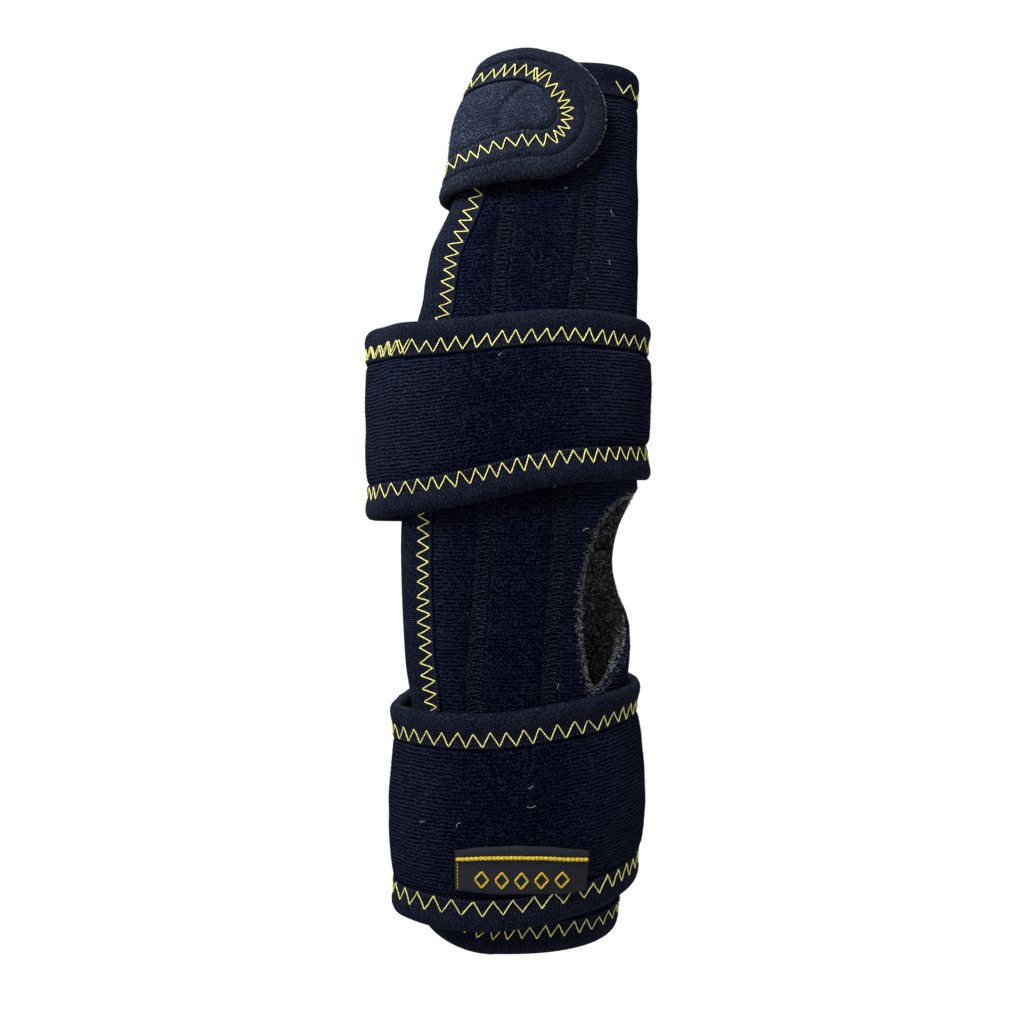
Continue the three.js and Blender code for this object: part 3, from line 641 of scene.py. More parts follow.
def hole_path(grow):
    """A smooth closed curve through the thumb hole's outline, grown on all sides."""
    size = [THUMB_HOLE["width"] + 2 * grow, THUMB_HOLE["length"] + 2 * grow]
    corners = np.array(THUMB_OUTLINE) * size + [THUMB_HOLE["around_palm"], z_of(THUMB_HOLE["middle"])]
    share = np.linspace(0, 1, 16, endpoint=False)[:, None]
    spans = []
    for corner in range(len(corners)):
        a, b, c, d = (corners[(corner + offset) % len(corners)] for offset in (-1, 0, 1, 2))
        square = (2 * a - 5 * b + 4 * c - d) * share**2
        cube = (3 * b - a - 3 * c + d) * share**3
        spans.append(0.5 * (2 * b + (c - a) * share + square + cube))
    return resample(np.concatenate(spans), 1.0, closed=True)


BODY_HOLE = hole_path(0)
LINING_HOLE = hole_path(-THUMB_HOLE["lining_shows"])


def press_at(distance):
    return 1 - smooth_step(distance, TAPE["width"] - 1.0, TAPE["width"] + 2.2)


def lining_faces(around, z):
    distance = distance_to(CLOSED_EDGE, around, z)
    press = press_at(distance)
    inner = press * (TAPE["thickness"] + GAP)
    return inner, inner + lerp(LINING, LINING * PRESSED, press)


def channel_relief(around, z):
    """The stay channel between the two seams is a low bulge, and each seam is a pressed strip of stitches."""
    seams = [line_at(z, THUMB_SEAM), line_at(z, LITTLE_SEAM)]
    share = (around - seams[0]) / (seams[1] - seams[0])
    relief = CHANNEL["rise"] * smooth_step(4 * share * (1 - share), 0, 1)
    ripple = CHANNEL["ripple"] * np.sin(z * 2 * math.pi / CHANNEL["ripple_length"])
    for seam, deep in zip(seams, (1, -1)):
        offset = around - seam
        relief = relief - CHANNEL["dip"] * bump(offset, 0, CHANNEL["half"] * 1.5)
        for side in (-1, 1):
            depth = CHANNEL["groove"] * CHANNEL["deep_share" if side == deep else "shallow_share"]
            relief = relief - depth * bump(offset, side * CHANNEL["half"], CHANNEL["groove_half"])
        relief = relief + ripple * bump(offset, 0, CHANNEL["ripple_half"])
    return relief


def panel_faces(around, z):
    distance = distance_to(CLOSED_EDGE, around, z)
    press = press_at(distance)
    inner = lining_faces(around, z)[1] + GAP
    under_tape = tape_top(np.maximum(distance, TAPE["round"]), PANEL_EDGE_TOP) - TAPE["thickness"] - GAP
    puff = 0.2 * bump(distance, TAPE["width"] + 4, 4)
    full = inner + PANEL + channel_relief(around, z) + puff + soft_layers(around, z, PANEL_SOFT)
    outer = np.where(distance < TAPE["width"] + 0.1, under_tape, lerp(full, under_tape, press))
    hole = distance_to(looped(BODY_HOLE), around, z)
    outer = outer - 0.7 * np.clip(1 - hole / 1.6, 0, 1) ** 2
    return inner, outer


def panel_grid(row_step, column_step, fine_step=None):
    """Points on the flat pattern, in rows, with closer columns over the two seams."""
    points = []
    offsets = np.arange(-3.6, 3.61, fine_step) if fine_step else np.zeros(1)
    for z in np.arange(HEM_Z + 1.5, END_Z - 1.4, row_step):
        thumb, little = line_at(z, THUMB_SEAM), line_at(z, LITTLE_SEAM)
        spans = [
            (-line_at(z, BACK_EDGE), thumb + offsets[0], thumb + offsets),
            (thumb + offsets[-1], little + offsets[0], little + offsets),
            (little + offsets[-1], line_at(z, FRONT_EDGE), []),
        ]
        for low, high, seam in spans:
            count = max(int(round((high - low) / column_step)), 2)
            columns = np.concatenate([np.linspace(low, high, count, endpoint=False)[1:], seam])
            points.append(np.stack([columns, np.full(len(columns), z)], axis=1))
    return np.concatenate(points)


def cut_sheet(name, hole, faces_of, row_step, column_step, fine_step=None):
    """A thick sheet with the wrap's outline and a hole, its flat pattern split into triangles."""
    inward = inward_of(PANEL_EDGE, True)
    edge = resample(PANEL_EDGE + inward * SHEET_INSET, EDGE_STEP, closed=True)
    grid = panel_grid(row_step, column_step, fine_step)
    beside = TAPE["width"] + np.array([-0.5, 0.5, 1.5])
    loops = [resample(PANEL_EDGE + inward * inset, 1.4, closed=True) for inset in beside]
    from_edge = distance_to(CLOSED_EDGE, grid[:, 0], grid[:, 1])
    clear = (from_edge < beside[0] - 0.6) | (from_edge > beside[-1] + 0.6)
    grid = np.concatenate([grid[clear]] + loops)
    far = is_inside(edge, grid[:, 0], grid[:, 1]) & ~is_inside(hole, grid[:, 0], grid[:, 1])
    for line in (edge, hole):
        far &= distance_to(looped(line), grid[:, 0], grid[:, 1]) > CLEAR_OF_EDGE
    flat = np.concatenate([edge, hole, grid[far]])
    loops = ((0, len(edge)), (len(edge), len(hole)))
    edges = [(first + step, first + (step + 1) % count) for first, count in loops for step in range(count)]
    split = delaunay_2d_cdt([Vector(point) for point in flat], edges, [], 1, 1e-6)
    flat = np.array([tuple(point) for point in split[0]])
    triangles = np.array(split[2])
    middle = flat[triangles].mean(axis=1)
    kept = is_inside(edge, middle[:, 0], middle[:, 1]) & ~is_inside(hole, middle[:, 0], middle[:, 1])
    triangles = triangles[kept]
    used = np.unique(triangles)
    renumber = np.full(len(flat), -1)
    renumber[used] = np.arange(len(used))
    flat, triangles = flat[used], renumber[triangles]
    inner, outer = faces_of(flat[:, 0], flat[:, 1])
    points = np.concatenate([panel_point(flat[:, 0], flat[:, 1], lift) for lift in (outer, inner)])
    count = len(flat)
    directed = {(int(a), int(b)) for tri in triangles for a, b in zip(tri, np.roll(tri, -1))}
    rims = [[b, a, a + count, b + count] for a, b in directed if (b, a) not in directed]
    faces = triangles.tolist() + (triangles[:, ::-1] + count).tolist() + rims
    cloth = np.stack([np.tile(flat[:, 0], 2), np.tile(flat[:, 1], 2), np.repeat([0.0, 1.0], count)], axis=1)
    return make_piece(name, points, faces, cloth)


# Straps


def strap_frame(strap):
    z = z_of(strap["middle"])
    girth = float(girth_at(z))
    tip_x = (strap["start"] - strap["tip"]) * girth
    return {**strap, "z": z, "girth": girth, "tip_x": tip_x, "round_x": tip_x - strap["tip_length"]}


def strap_turn(strap, x):
    return strap["start"] - x / strap["girth"]


def course_at(strap, x, name):
    return table_curve(strap["course"], lambda row: row[name], strap_turn(strap, x)) * strap["width"]


def strap_half(strap, x, inset):
    half = course_at(strap, np.minimum(x, strap["round_x"]), 2) - inset
    share = np.clip((x - strap["round_x"]) / (strap["tip_length"] - inset), 0, 1)
    power = strap["tip_roundness"]
    return half * (1 - share**power) ** (1 / power)


def strap_seat(strap, turn, z):
    girth = girth_at(z)
    place = turn % 1.0
    past_front = place * girth - line_at(z, FRONT_EDGE)
    past_back = (1 - place) * girth - line_at(z, BACK_EDGE)
    past = np.minimum(past_front, past_back)
    drop = smooth_step(past, STRAP_DROP["lead"], STRAP_DROP["lead"] + STRAP_DROP["run"])
    seat = lerp(SEAT_ON_PANEL, STRAP_DROP["rest"], drop)
    if strap["laps"]:
        before_lap = (turn - (strap["start"] - 1)) * strap["girth"]
        lift = 1 - smooth_step(before_lap, STRAP_DROP["lead"], STRAP_DROP["lead"] + LAP_RUN)
        dip = smooth_step(turn, THUMB_SIDE_DIP["starts"], THUMB_SIDE_DIP["full"])
        dip = dip * (1 - smooth_step(turn, THUMB_SIDE_DIP["leaves"], THUMB_SIDE_DIP["ends"]))
        seat = seat - THUMB_SIDE_DIP["depth"] * dip + lift * (STRAP_EDGE_TOP + LAP_SPARE)
    return seat


def strap_place(strap):
    def place(x, y, lift):
        turn = strap_turn(strap, x)
        z = strap["z"] + course_at(strap, x, 1) + y
        return wall_point(turn, z, strap_seat(strap, turn, z) + lift)

    return place


STRAP_EDGE_TOP = 2 * TAPE["thickness"] + STRAP * STRAP_PRESSED + 2 * GAP


def strap_path(strap):
    """The strap's edge from the start's lower corner, along the lower edge, round the tip and back."""
    straight = np.arange(0, strap["round_x"], 2.0)
    angles = np.linspace(0, math.pi / 2, 40)[1:]
    round_x = strap["round_x"] + strap["tip_length"] * np.sin(angles)
    x = np.concatenate([straight, [strap["round_x"]], round_x])
    half = strap_half(strap, x, 0)
    lower = np.stack([x, -half], axis=1)
    upper = np.stack([x, half], axis=1)[::-1][1:]
    return resample(np.concatenate([lower, upper]), EDGE_STEP)


def strap_distance(strap, path, x, y):
    """Distance in from the edge, in steps of the tape's usual width."""
    return distance_to(path, x, y) / (1 + strap["extra"](x, y) / TAPE["width"])


def crowned(distance):
    return STRAP + STRAP_CROWN * smooth_step(distance, TAPE["width"], TAPE["width"] + CROWN_RUN)


def strap_faces(strap, path, x, y, relief):
    distance = strap_distance(strap, path, x, y)
    press = press_at(distance)
    under_tape = tape_top(np.maximum(distance, TAPE["round"]), STRAP_EDGE_TOP, strap["ring"])
    under_tape = under_tape - TAPE["thickness"] - GAP
    full = crowned(distance) + soft_layers(x, y, STRAP_SOFT) + relief(x, y)
    outer = np.where(distance < TAPE["width"] + 0.1, under_tape, lerp(full, under_tape, press))
    tab_start = strap["tip_x"] - HOOK_TAB["from_tip"] - HOOK_TAB["length"]
    over_tab = smooth_step(x, tab_start - HOOK_TAB["lead"], tab_start - 1) * HOOK_TAB["thickness"]
    inner = np.maximum(press * (TAPE["thickness"] + GAP), over_tab)
    return inner, np.maximum(outer, inner + 0.4)


def strap_cloth(strap, path, relief, along_step):
    """The strap's padded cloth as a closed sheet, its points closer towards the edges."""
    across_count, spread = 56, math.pi / 2 * 0.9
    straight = np.arange(0, strap["round_x"] - 1, along_step)
    angles = np.linspace(0, math.pi / 2, 26)[:-1]
    rounded = strap["round_x"] + (strap["tip_length"] - SHEET_INSET) * np.sin(angles)
    rounded = np.append(rounded, strap["tip_x"] - SHEET_INSET - 0.03)
    x = np.concatenate([straight, rounded])
    half = strap_half(strap, x, SHEET_INSET)
    share = np.sin(np.linspace(-1, 1, across_count) * spread) / math.sin(spread)
    grid_x = np.broadcast_to(x[:, None], (len(x), across_count))
    grid_y = half[:, None] * share[None]
    inner, outer = strap_faces(strap, path, grid_x, grid_y, relief)
    place = strap_place(strap)
    points, faces = closed_sheet(place(grid_x, grid_y, outer), place(grid_x, grid_y, inner))
    cloth = np.stack([grid_x, grid_y, grid_x * 0], axis=2)
    cloth = np.concatenate([cloth, cloth[:, ::-1] + [0, 0, 1]], axis=1)
    return make_piece(strap["name"] + "_cloth", points, faces, cloth.reshape(-1, 3))


# Materials


class Shader:
    """A material's nodes, added one by one."""

    def __init__(self, name):
        self.material = bpy.data.materials.new(name)
        self.material.use_nodes = True
        self.nodes = self.material.node_tree.nodes
        self.links = self.material.node_tree.links
        self.surface = self.nodes["Principled BSDF"]

    def node(self, kind, settings=None, **inputs):
        made = self.nodes.new(kind)
        for key, value in (settings or {}).items():
            setattr(made, key, value)
        for key, value in inputs.items():
            self.set(made.inputs[key.replace("_", " ")], value)
        return made

    def set(self, socket, value):
        if isinstance(value, bpy.types.NodeSocket):
            self.links.new(value, socket)
        else:
            socket.default_value = value

    def math(self, operation, first, second=0.0, third=0.0):
        made = self.nodes.new("ShaderNodeMath")
        made.operation = operation
        for socket, value in zip(made.inputs, (first, second, third)):
            self.set(socket, value)
        return made.outputs[0]

    def mix(self, share, first, second):
        made = self.node("ShaderNodeMix", {"data_type": "RGBA"}, Factor=share)
        self.set(made.inputs["A"], (*first, 1))
        self.set(made.inputs["B"], (*second, 1))
        return made.outputs["Result"]

    def wave(self, value, length):
        return self.math("SINE", self.math("MULTIPLY", value, 2 * math.pi / length))

    def clamp(self, value):
        return self.math("MINIMUM", self.math("MAXIMUM", value, 0.0), 1.0)

    def noise(self, vector, scale, detail=3.0, roughness=0.6):
        inputs = {"Vector": vector, "Scale": scale, "Detail": detail, "Roughness": roughness}
        return self.node("ShaderNodeTexNoise", {}, **inputs).outputs["Fac"]

    def ramp(self, value, low, high):
        settings = {"interpolation_type": "SMOOTHSTEP"}
        made = self.node("ShaderNodeMapRange", settings, Value=value, From_Min=low, From_Max=high)
        return made.outputs["Result"]

    def cloth(self):
        """The cloth's own coordinates in millimetres: along it, across it, and 1 on its hidden face."""
        source = self.node("ShaderNodeAttribute", {"attribute_name": "cloth"})
        parts = self.node("ShaderNodeSeparateXYZ", {}, Vector=source.outputs["Vector"])
        return source.outputs["Vector"], parts.outputs["X"], parts.outputs["Y"]

    def bump(self, height, distance, strength=1.0, before=None):
        made = self.node("ShaderNodeBump", {}, Strength=strength, Distance=distance, Height=height)
        if before is not None:
            self.set(made.inputs["Normal"], before)
        return made.outputs["Normal"]

    def finish(self, colour, roughness, normal=None, **fixed):
        self.set(self.surface.inputs["Base Color"], colour)
        self.set(self.surface.inputs["Roughness"], roughness)
        if normal is not None:
            self.set(self.surface.inputs["Normal"], normal)
        for key, value in fixed.items():
            self.surface.inputs[key.replace("_", " ")].default_value = value
        return self.material


def knit_material(name, dark, light, rib=1.16, fuzz=0.6, rib_depth=1.0, curl=1.7):
    """Looped knit: courses of small loops along the cloth, with lighter specks of fuzz. The loop tops are
    painted lighter as a painted highlight. The ribs run shallower in the middle of the front and deeper
    towards both sides, where grazing light shows them more, so their painted highlight is stronger there.
    """
    shader = Shader(name)
    place, along, across = shader.cloth()
    source = shader.node("ShaderNodeTexCoord")
    parts = shader.node("ShaderNodeSeparateXYZ", {}, Vector=source.outputs["Object"])
    # beside is 0 in the middle of the front and 1 towards both sides. It deepens the ribs there, and with
    # them the painted highlight on their loop tops, for the grazing light at the sides.
    beside = shader.ramp(shader.math("ABSOLUTE", parts.outputs["X"]), 0.008, 0.034)
    wobble = shader.math("MULTIPLY", shader.math("SUBTRACT", shader.noise(place, 0.3, 2.0), 0.5), 1.6)
    course = shader.math("DIVIDE", shader.math("ADD", across, wobble), rib)
    ridge = shader.math("ABSOLUTE", shader.wave(course, 2))
    wale = shader.math("MULTIPLY_ADD", shader.math("FLOOR", course), 0.5, along)
    stitch = shader.math("ABSOLUTE", shader.wave(wale, 2))
    loops = shader.math("MULTIPLY", ridge, shader.math("MULTIPLY_ADD", stitch, 0.4, 0.6))
    depth = shader.math("MULTIPLY_ADD", beside, 0.5 * rib_depth, 0.5 * rib_depth)
    loops = shader.math("MULTIPLY", loops, depth)
    fine = shader.noise(place, 2.2, 6.0, 0.8)
    coarse = shader.noise(place, 0.14, 3.0, 0.5)
    curls = shader.node("ShaderNodeTexVoronoi", {"feature": "F1"}, Scale=curl, Randomness=1.0, Vector=place)
    tufts = shader.math("SUBTRACT", 1.0, shader.ramp(curls.outputs["Distance"], 0.05, 0.75))
    pile = shader.math("MULTIPLY_ADD", tufts, 0.45, shader.math("MULTIPLY", fine, 0.8))
    patches = shader.math("MULTIPLY_ADD", shader.ramp(coarse, 0.35, 0.68), 0.55, 0.45)
    speck = shader.math("MULTIPLY", shader.ramp(pile, 0.55, 0.79), shader.math("MULTIPLY", patches, fuzz))
    # Painted highlight: the loop tops are painted lighter, in the light fuzz colour.
    loop_top_highlight = shader.math("MULTIPLY", shader.ramp(loops, 0.2, 0.9), shader.math("MULTIPLY_ADD", fine, 0.7, 0.05))
    share = shader.math("MINIMUM", shader.math("ADD", speck, loop_top_highlight), 1.0)
    normal = shader.bump(pile, 0.0005, 0.8, shader.bump(loops, 0.0005, 0.8))
    return shader.finish(
        shader.mix(share, dark, light),
        0.95,
        normal,
        Specular_IOR_Level=0.0,
        Sheen_Weight=0.008,
        Sheen_Roughness=0.5,
        Sheen_Tint=(0.4, 0.55, 1.0, 1),
    )


def tape_material(name, dark, light):
    """Smooth jersey tape: fine lines across it, a faint pile, and small stitches beside its cut edge, along
    which it is darkened as a painted shadow.
    """
    shader = Shader(name)
    place, along, across = shader.cloth()
    fine = shader.noise(place, 1.9, 6.0, 0.8)
    coarse = shader.noise(place, 0.2, 3.0, 0.5)
    lines = shader.wave(shader.math("MULTIPLY_ADD", coarse, 2.0, along), 0.6)
    grain = shader.math("MULTIPLY_ADD", lines, 0.16, shader.ramp(fine, 0.47, 0.64))
    patches = shader.math("MULTIPLY", shader.ramp(coarse, 0.3, 0.75), 0.15)
    share = shader.math("MULTIPLY_ADD", grain, 0.85, patches)
    # Painted shadow: the grain is painted darker towards the tape's raw edge, where it lies on the cloth
    # below. raw marks that edge band.
    raw = shader.ramp(across, TAPE["width"] - 0.7, TAPE["width"] - 0.1)
    share = shader.math("MULTIPLY", share, shader.math("SUBTRACT", 1.0, raw))
    row = shader.math("SUBTRACT", shader.ramp(across, TAPE["width"] - 1.1, TAPE["width"] - 0.8), raw)
    steps = shader.ramp(shader.wave(along, 0.95), 0.1, 0.8)
    dots = shader.math("MULTIPLY", steps, shader.math("MAXIMUM", row, 0.0))
    share = shader.clamp(shader.math("MULTIPLY_ADD", dots, 0.8, share))
    return shader.finish(
        shader.mix(share, dark, light),
        0.85,
        shader.bump(shader.math("MULTIPLY_ADD", lines, 0.14, fine), 0.0005, 0.8),
        Specular_IOR_Level=0.005,
        Sheen_Weight=0.012,
        Sheen_Roughness=0.5,
        Sheen_Tint=(0.5, 0.6, 1.0, 1),
    )


def fleece_material():
    """Short grey fleece, matted in patches."""
    shader = Shader("grey_fleece_cloth")
    place, _, _ = shader.cloth()
    fine = shader.noise(place, 1.6, 6.0, 0.8)
    coarse = shader.noise(place, 0.3, 3.0, 0.6)
    tufts = shader.math("MULTIPLY", shader.ramp(fine, 0.47, 0.68), shader.ramp(coarse, 0.25, 0.7))
    colour = shader.mix(tufts, (0.0035, 0.004, 0.0055), (0.21, 0.216, 0.235))
    normal = shader.bump(fine, 0.0008, 0.9)
    return shader.finish(colour, 0.95, normal, Specular_IOR_Level=0.0, Sheen_Weight=0.02, Sheen_Roughness=0.5)


def thread_material(name, dark, light, specular, uneven=(0.3, 0.7)):
    """Twisted sewing thread: slanted plies round the strand, with patches of painted highlight and painted
    shade spread along it by noise.
    """
    shader = Shader(name)
    place, along, round_it = shader.cloth()
    ply = shader.math("SINE", shader.math("MULTIPLY_ADD", along, 2 * math.pi / 0.8, round_it))
    # lit: where the noise gives the thread its painted highlight. uneven is the span of the noise over which
    # it rises from the painted shade.
    lit = shader.ramp(shader.noise(place, 1.1, 3.0, 0.6), *uneven)
    share = shader.math("MULTIPLY_ADD", ply, 0.15, shader.math("MULTIPLY_ADD", lit, 0.85, 0.05))
    colour = shader.mix(shader.clamp(share), dark, light)
    normal = shader.bump(ply, 0.00008, 0.6)
    return shader.finish(colour, 0.6, normal, Specular_IOR_Level=specular)


def fibre_material(name, dark, light):
    """Loose fibres, each a little lighter or darker."""
    shader = Shader(name)
    place, _, _ = shader.cloth()
    share = shader.ramp(shader.noise(place, 0.9, 1.0), 0.36, 0.7)
    return shader.finish(shader.mix(share, dark, light), 0.9, Specular_IOR_Level=0.0)


def label_material():
    """Satin label: fine raised rows of weave."""
    shader = Shader("woven_label_cloth")
    place, along, across = shader.cloth()
    weave = shader.math("MULTIPLY_ADD", shader.wave(along, 0.42), 0.4, shader.wave(across, 0.34))
    fine = shader.noise(place, 2.0, 4.0, 0.6)
    share = shader.math("MULTIPLY_ADD", weave, 0.12, shader.math("MULTIPLY_ADD", fine, 0.5, 0.2))
    colour = shader.mix(share, (0.0045, 0.0055, 0.0075), (0.0165, 0.0185, 0.0235))
    normal = shader.bump(weave, 0.00006, 0.7)
    return shader.finish(colour, 0.75, normal, Specular_IOR_Level=0.03)


def hook_material():
    shader = Shader("moulded_hooks")
    source = shader.node("ShaderNodeTexCoord")
    dots = shader.node("ShaderNodeTexVoronoi", {}, Scale=900.0, Vector=source.outputs["Object"])
    normal = shader.bump(dots.outputs["Distance"], 0.0006, 0.8)
    colour = shader.mix(dots.outputs["Distance"], (0.03, 0.03, 0.033), (0.008, 0.008, 0.009))
    return shader.finish(colour, 0.5, normal)


NAVY = (0.0002, 0.0004, 0.0028)
# The second knit colours serve both for the lighter specks of fuzz and for the painted highlight on the loop
# tops.
NAVY_FUZZ_AND_HIGHLIGHT = (0.0125, 0.0158, 0.0285)
PLUSH = (0.0055, 0.0075, 0.0135)
PLUSH_FUZZ_AND_HIGHLIGHT = (0.041, 0.05, 0.078)
# Each thread has a darker and a lighter colour, mixed along it in patches by noise. They stand in for painted
# shade and painted highlight on the thread.
YELLOW = [(0.13, 0.115, 0.01), (0.68, 0.65, 0.22)]
GOLD = [(0.15, 0.105, 0.005), (0.42, 0.31, 0.018)]
BLACK = [(0.0001, 0.0002, 0.0014), (0.05, 0.064, 0.1)]
MATERIALS = {
    "knit": knit_material("looped_knit", NAVY, NAVY_FUZZ_AND_HIGHLIGHT),
    "plush": knit_material("brushed_knit", PLUSH, PLUSH_FUZZ_AND_HIGHLIGHT, rib=1.3, fuzz=0.85, rib_depth=0.5, curl=2.6),
    "tape": tape_material("smooth_tape_cloth", (0.0003, 0.0007, 0.0032), (0.0145, 0.0175, 0.0285)),
    "pale_tape": tape_material("brushed_tape_cloth", (0.0015, 0.0022, 0.0055), (0.02, 0.0235, 0.035)),
    "fleece": fleece_material(),
    "yellow": thread_material("yellow_thread", *YELLOW, specular=0.15, uneven=(0.34, 0.6)),
    "gold": thread_material("gold_thread", *GOLD, specular=0.12),
    "black_thread": thread_material("black_thread", *BLACK, specular=0.0, uneven=(0.56, 0.7)),
    "label": label_material(),
    "hook": hook_material(),
    "fuzz": fibre_material("dark_fuzz", (0.001, 0.0018, 0.0055), (0.018, 0.0225, 0.037)),
    "grey_fibre": fibre_material("grey_fibre", (0.006, 0.0065, 0.008), (0.42, 0.43, 0.46)),
    "lint": fibre_material("pale_lint", (0.14, 0.145, 0.155), (0.42, 0.43, 0.45)),
}


def dress(piece, material, slot, *replaced):
    piece.data.materials.clear()
    piece.data.materials.append(MATERIALS[material])
    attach(piece, "root")
    if replaced:
        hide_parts(*replaced)
    return piece


# Fibres


def fibres(name, roots, normals, leans, lengths, radius):
    """Short bent fibres with closed, pointed bodies, made as one mesh from arrays."""
    side = unit(np.cross(normals, leans))
    front = np.cross(side, normals)
    angles = np.arange(3) * 2 * math.pi / 3
    ring = np.cos(angles)[None, :, None] * side[:, None] + np.sin(angles)[None, :, None] * front[:, None]
    middle = roots + normals * (lengths * 0.55)[:, None] + leans * (lengths * 0.2)[:, None]
    tips = roots + normals * (lengths * 0.8)[:, None] + leans * (lengths * 0.65)[:, None]
    sunk = roots[:, None] + ring * radius - normals[:, None] * 0.2
    points = np.concatenate([sunk, middle[:, None] + ring * radius * 0.8, tips[:, None]], axis=1)
    pattern = [[2, 1, 0], [0, 1, 4, 3], [1, 2, 5, 4], [2, 0, 3, 5], [3, 4, 6], [4, 5, 6], [5, 3, 6]]
    faces = [[7 * fibre + corner for corner in face] for fibre in range(len(roots)) for face in pattern]
    return make_piece(name, points.reshape(-1, 3), faces, points.reshape(-1, 3), smooth_angle=None)


def surface_sample(piece, count, seed, keep=None, face=0):
    """Random places on a piece's outer face (0) or inner face (1), with their normals, in millimetres."""
    corners, triangles = read_mesh(piece.data)
    corners = corners / MM
    cloth = np.empty(corners.size)
    piece.data.attributes["cloth"].data.foreach_get("vector", cloth)
    cloth = cloth.reshape(-1, 3)
    triangles = triangles[np.abs(cloth[triangles][:, :, 2] - face).max(axis=1) < 0.5]
    if keep is not None:
        triangles = triangles[keep(cloth[triangles].mean(axis=1))]
    a, b, c = (corners[triangles[:, corner]] for corner in range(3))
    cross = np.cross(b - a, c - a)
    area = np.linalg.norm(cross, axis=1)
    random = np.random.default_rng(seed)
    chosen = random.choice(len(triangles), count, p=area / area.sum())
    u, v = random.uniform(0, 1, (2, count))
    over = u + v > 1
    u[over], v[over] = 1 - u[over], 1 - v[over]
    places = a[chosen] + (b - a)[chosen] * u[:, None] + (c - a)[chosen] * v[:, None]
    return places, (cross / area[:, None])[chosen], random


def add_fuzz(
    piece,
    count,
    seed,
    material="fuzz",
    length=0.75,
    radius=0.035,
    slot="knit_cloth",
    keep=None,
    face=0,
    suffix="_fuzz",
):
    """Loose fibres standing on a piece, which may be kept to some places of it."""
    places, normals, random = surface_sample(piece, count, seed, keep, face)
    leans = random.normal(0, 1, (count, 3))
    leans = unit(leans - normals * np.sum(leans * normals, axis=1)[:, None])
    lengths = length * random.uniform(0.4, 1.3, count)
    return dress(fibres(piece.name + suffix, places, normals, leans, lengths, radius), material, slot)


# The wrap, its lining, tape and stitches


def build_wrap():
    body = cut_sheet("wrap_cloth", BODY_HOLE, panel_faces, row_step=1.4, column_step=1.5, fine_step=0.6)
    dress(body, "knit", "knit_cloth", "splint_body")
    lining = cut_sheet("fleece_cloth", LINING_HOLE, lining_faces, row_step=2.4, column_step=2.6)
    dress(lining, "fleece", "grey_fleece", "fleece_lining")
    tape = make_piece("wrap_tape", *folded_tape(PANEL_EDGE, PANEL_EDGE_TOP, panel_point, True, 21))
    dress(tape, "tape", "smooth_tape", "body_binding")
    add_fuzz(tape, 1500, 24, length=0.5, slot="smooth_tape")
    return body, lining


def build_wrap_stitches():
    """Yellow zigzag round the tape. It starts and ends near the end edge's thumb side, with a short gap."""
    gap_start, gap_length = line_at(END_Z, THUMB_SEAM) - 7, 6
    nearest = np.argmin(np.hypot(PANEL_EDGE[:, 0] - gap_start, PANEL_EDGE[:, 1] - END_Z))
    path = np.roll(PANEL_EDGE, -nearest, axis=0)[: -int(gap_length / EDGE_STEP)]
    thread = zigzag(path, PANEL_EDGE_TOP, panel_point, 31, 3.6, lambda x, y: np.full(len(x), 4.0), inset=7.2)
    dress(make_piece("wrap_stitches", *thread), "yellow", "smooth_tape")


def drift(z, step, seed, amount):
    """A smooth random wander along z."""
    knots = np.arange(z[0], z[-1] + 2 * step, step)
    wander = np.random.default_rng(seed).normal(0, amount, len(knots))
    share = np.clip((z - knots[0]) / step, 0, len(knots) - 1.001)
    low = share.astype(int)
    return lerp(wander[low], wander[low + 1], smooth_step(share - low, 0, 1))


def build_seam_stitches():
    """Black thread over the two seams: two loopers that cross between two rows of needle stitches."""
    parts = []
    from_ends, stitch, needle = (SEAM_THREAD[name] for name in ("from_ends", "stitch", "needle_offset"))
    z = np.arange(HEM_Z + from_ends, END_Z - from_ends, 0.2)
    for name, inner_side in ((THUMB_SEAM, 1), (LITTLE_SEAM, -1)):
        seam = line_at(z, name)
        phase = z * 2 * math.pi / stitch + drift(z, stitch, 10 * name, 0.35)
        rows = []
        for looper, (turn, seed) in enumerate(((0.0, 11), (2.5, 12))):
            offset = SEAM_THREAD["loop_reach"] * np.sin(phase + turn) + drift(z, 1.9, seed + name, 0.28)
            dips = (0.2 if looper else -0.2) * np.sin(2 * phase + turn) + drift(z, 1.5, seed + 7 + name, 0.06)
            rows.append((offset, SEAM_THREAD["loop_rise"] + dips, SEAM_THREAD["loop_radius"]))
        for side in (-1, 1):
            top = 0.24 if side == inner_side else 0.1
            dashes = top - 0.34 * bump(np.sin(phase / 2 + side), 0, 0.3)
            offset = needle * side + drift(z, 5, 31 + name, 0.08)
            rows.append((offset, dashes, SEAM_THREAD["needle_radius"]))
        for offset, rise, radius in rows:
            around = seam + offset
            height = panel_faces(around, z)[1] + rise
            centres = panel_point(around, z, height)
            parts.append(tube(centres, panel_point(around, z, height + 1) - centres, radius, sides=5))
    dress(make_piece("seam_stitches", *join(parts)), "black_thread", "knit_cloth")


def build_hole_fibres(body, lining):
    """Fleece fluff along the raw edge of the thumb hole, and pile on the back that shows through it."""
    hole = looped(BODY_HOLE)
    seen_middle, seen_half = (-22, 65), (36, 42)

    def near_hole(reach):
        return lambda cloth: distance_to(hole, cloth[:, 0], cloth[:, 1]) < reach

    def behind_hole(cloth):
        return np.all(np.abs(cloth[:, :2] - seen_middle) < seen_half, axis=1)

    add_fuzz(lining, 5000, 41, "grey_fibre", 1.1, 0.05, "grey_fleece", near_hole(2.6))
    add_fuzz(lining, 7000, 42, "grey_fibre", 1.4, 0.06, "grey_fleece", behind_hole, 1, "_pile")
    add_fuzz(body, 500, 43, "grey_fibre", 0.6, 0.035, "grey_fleece", near_hole(0.9), 0, "_hole_fluff")


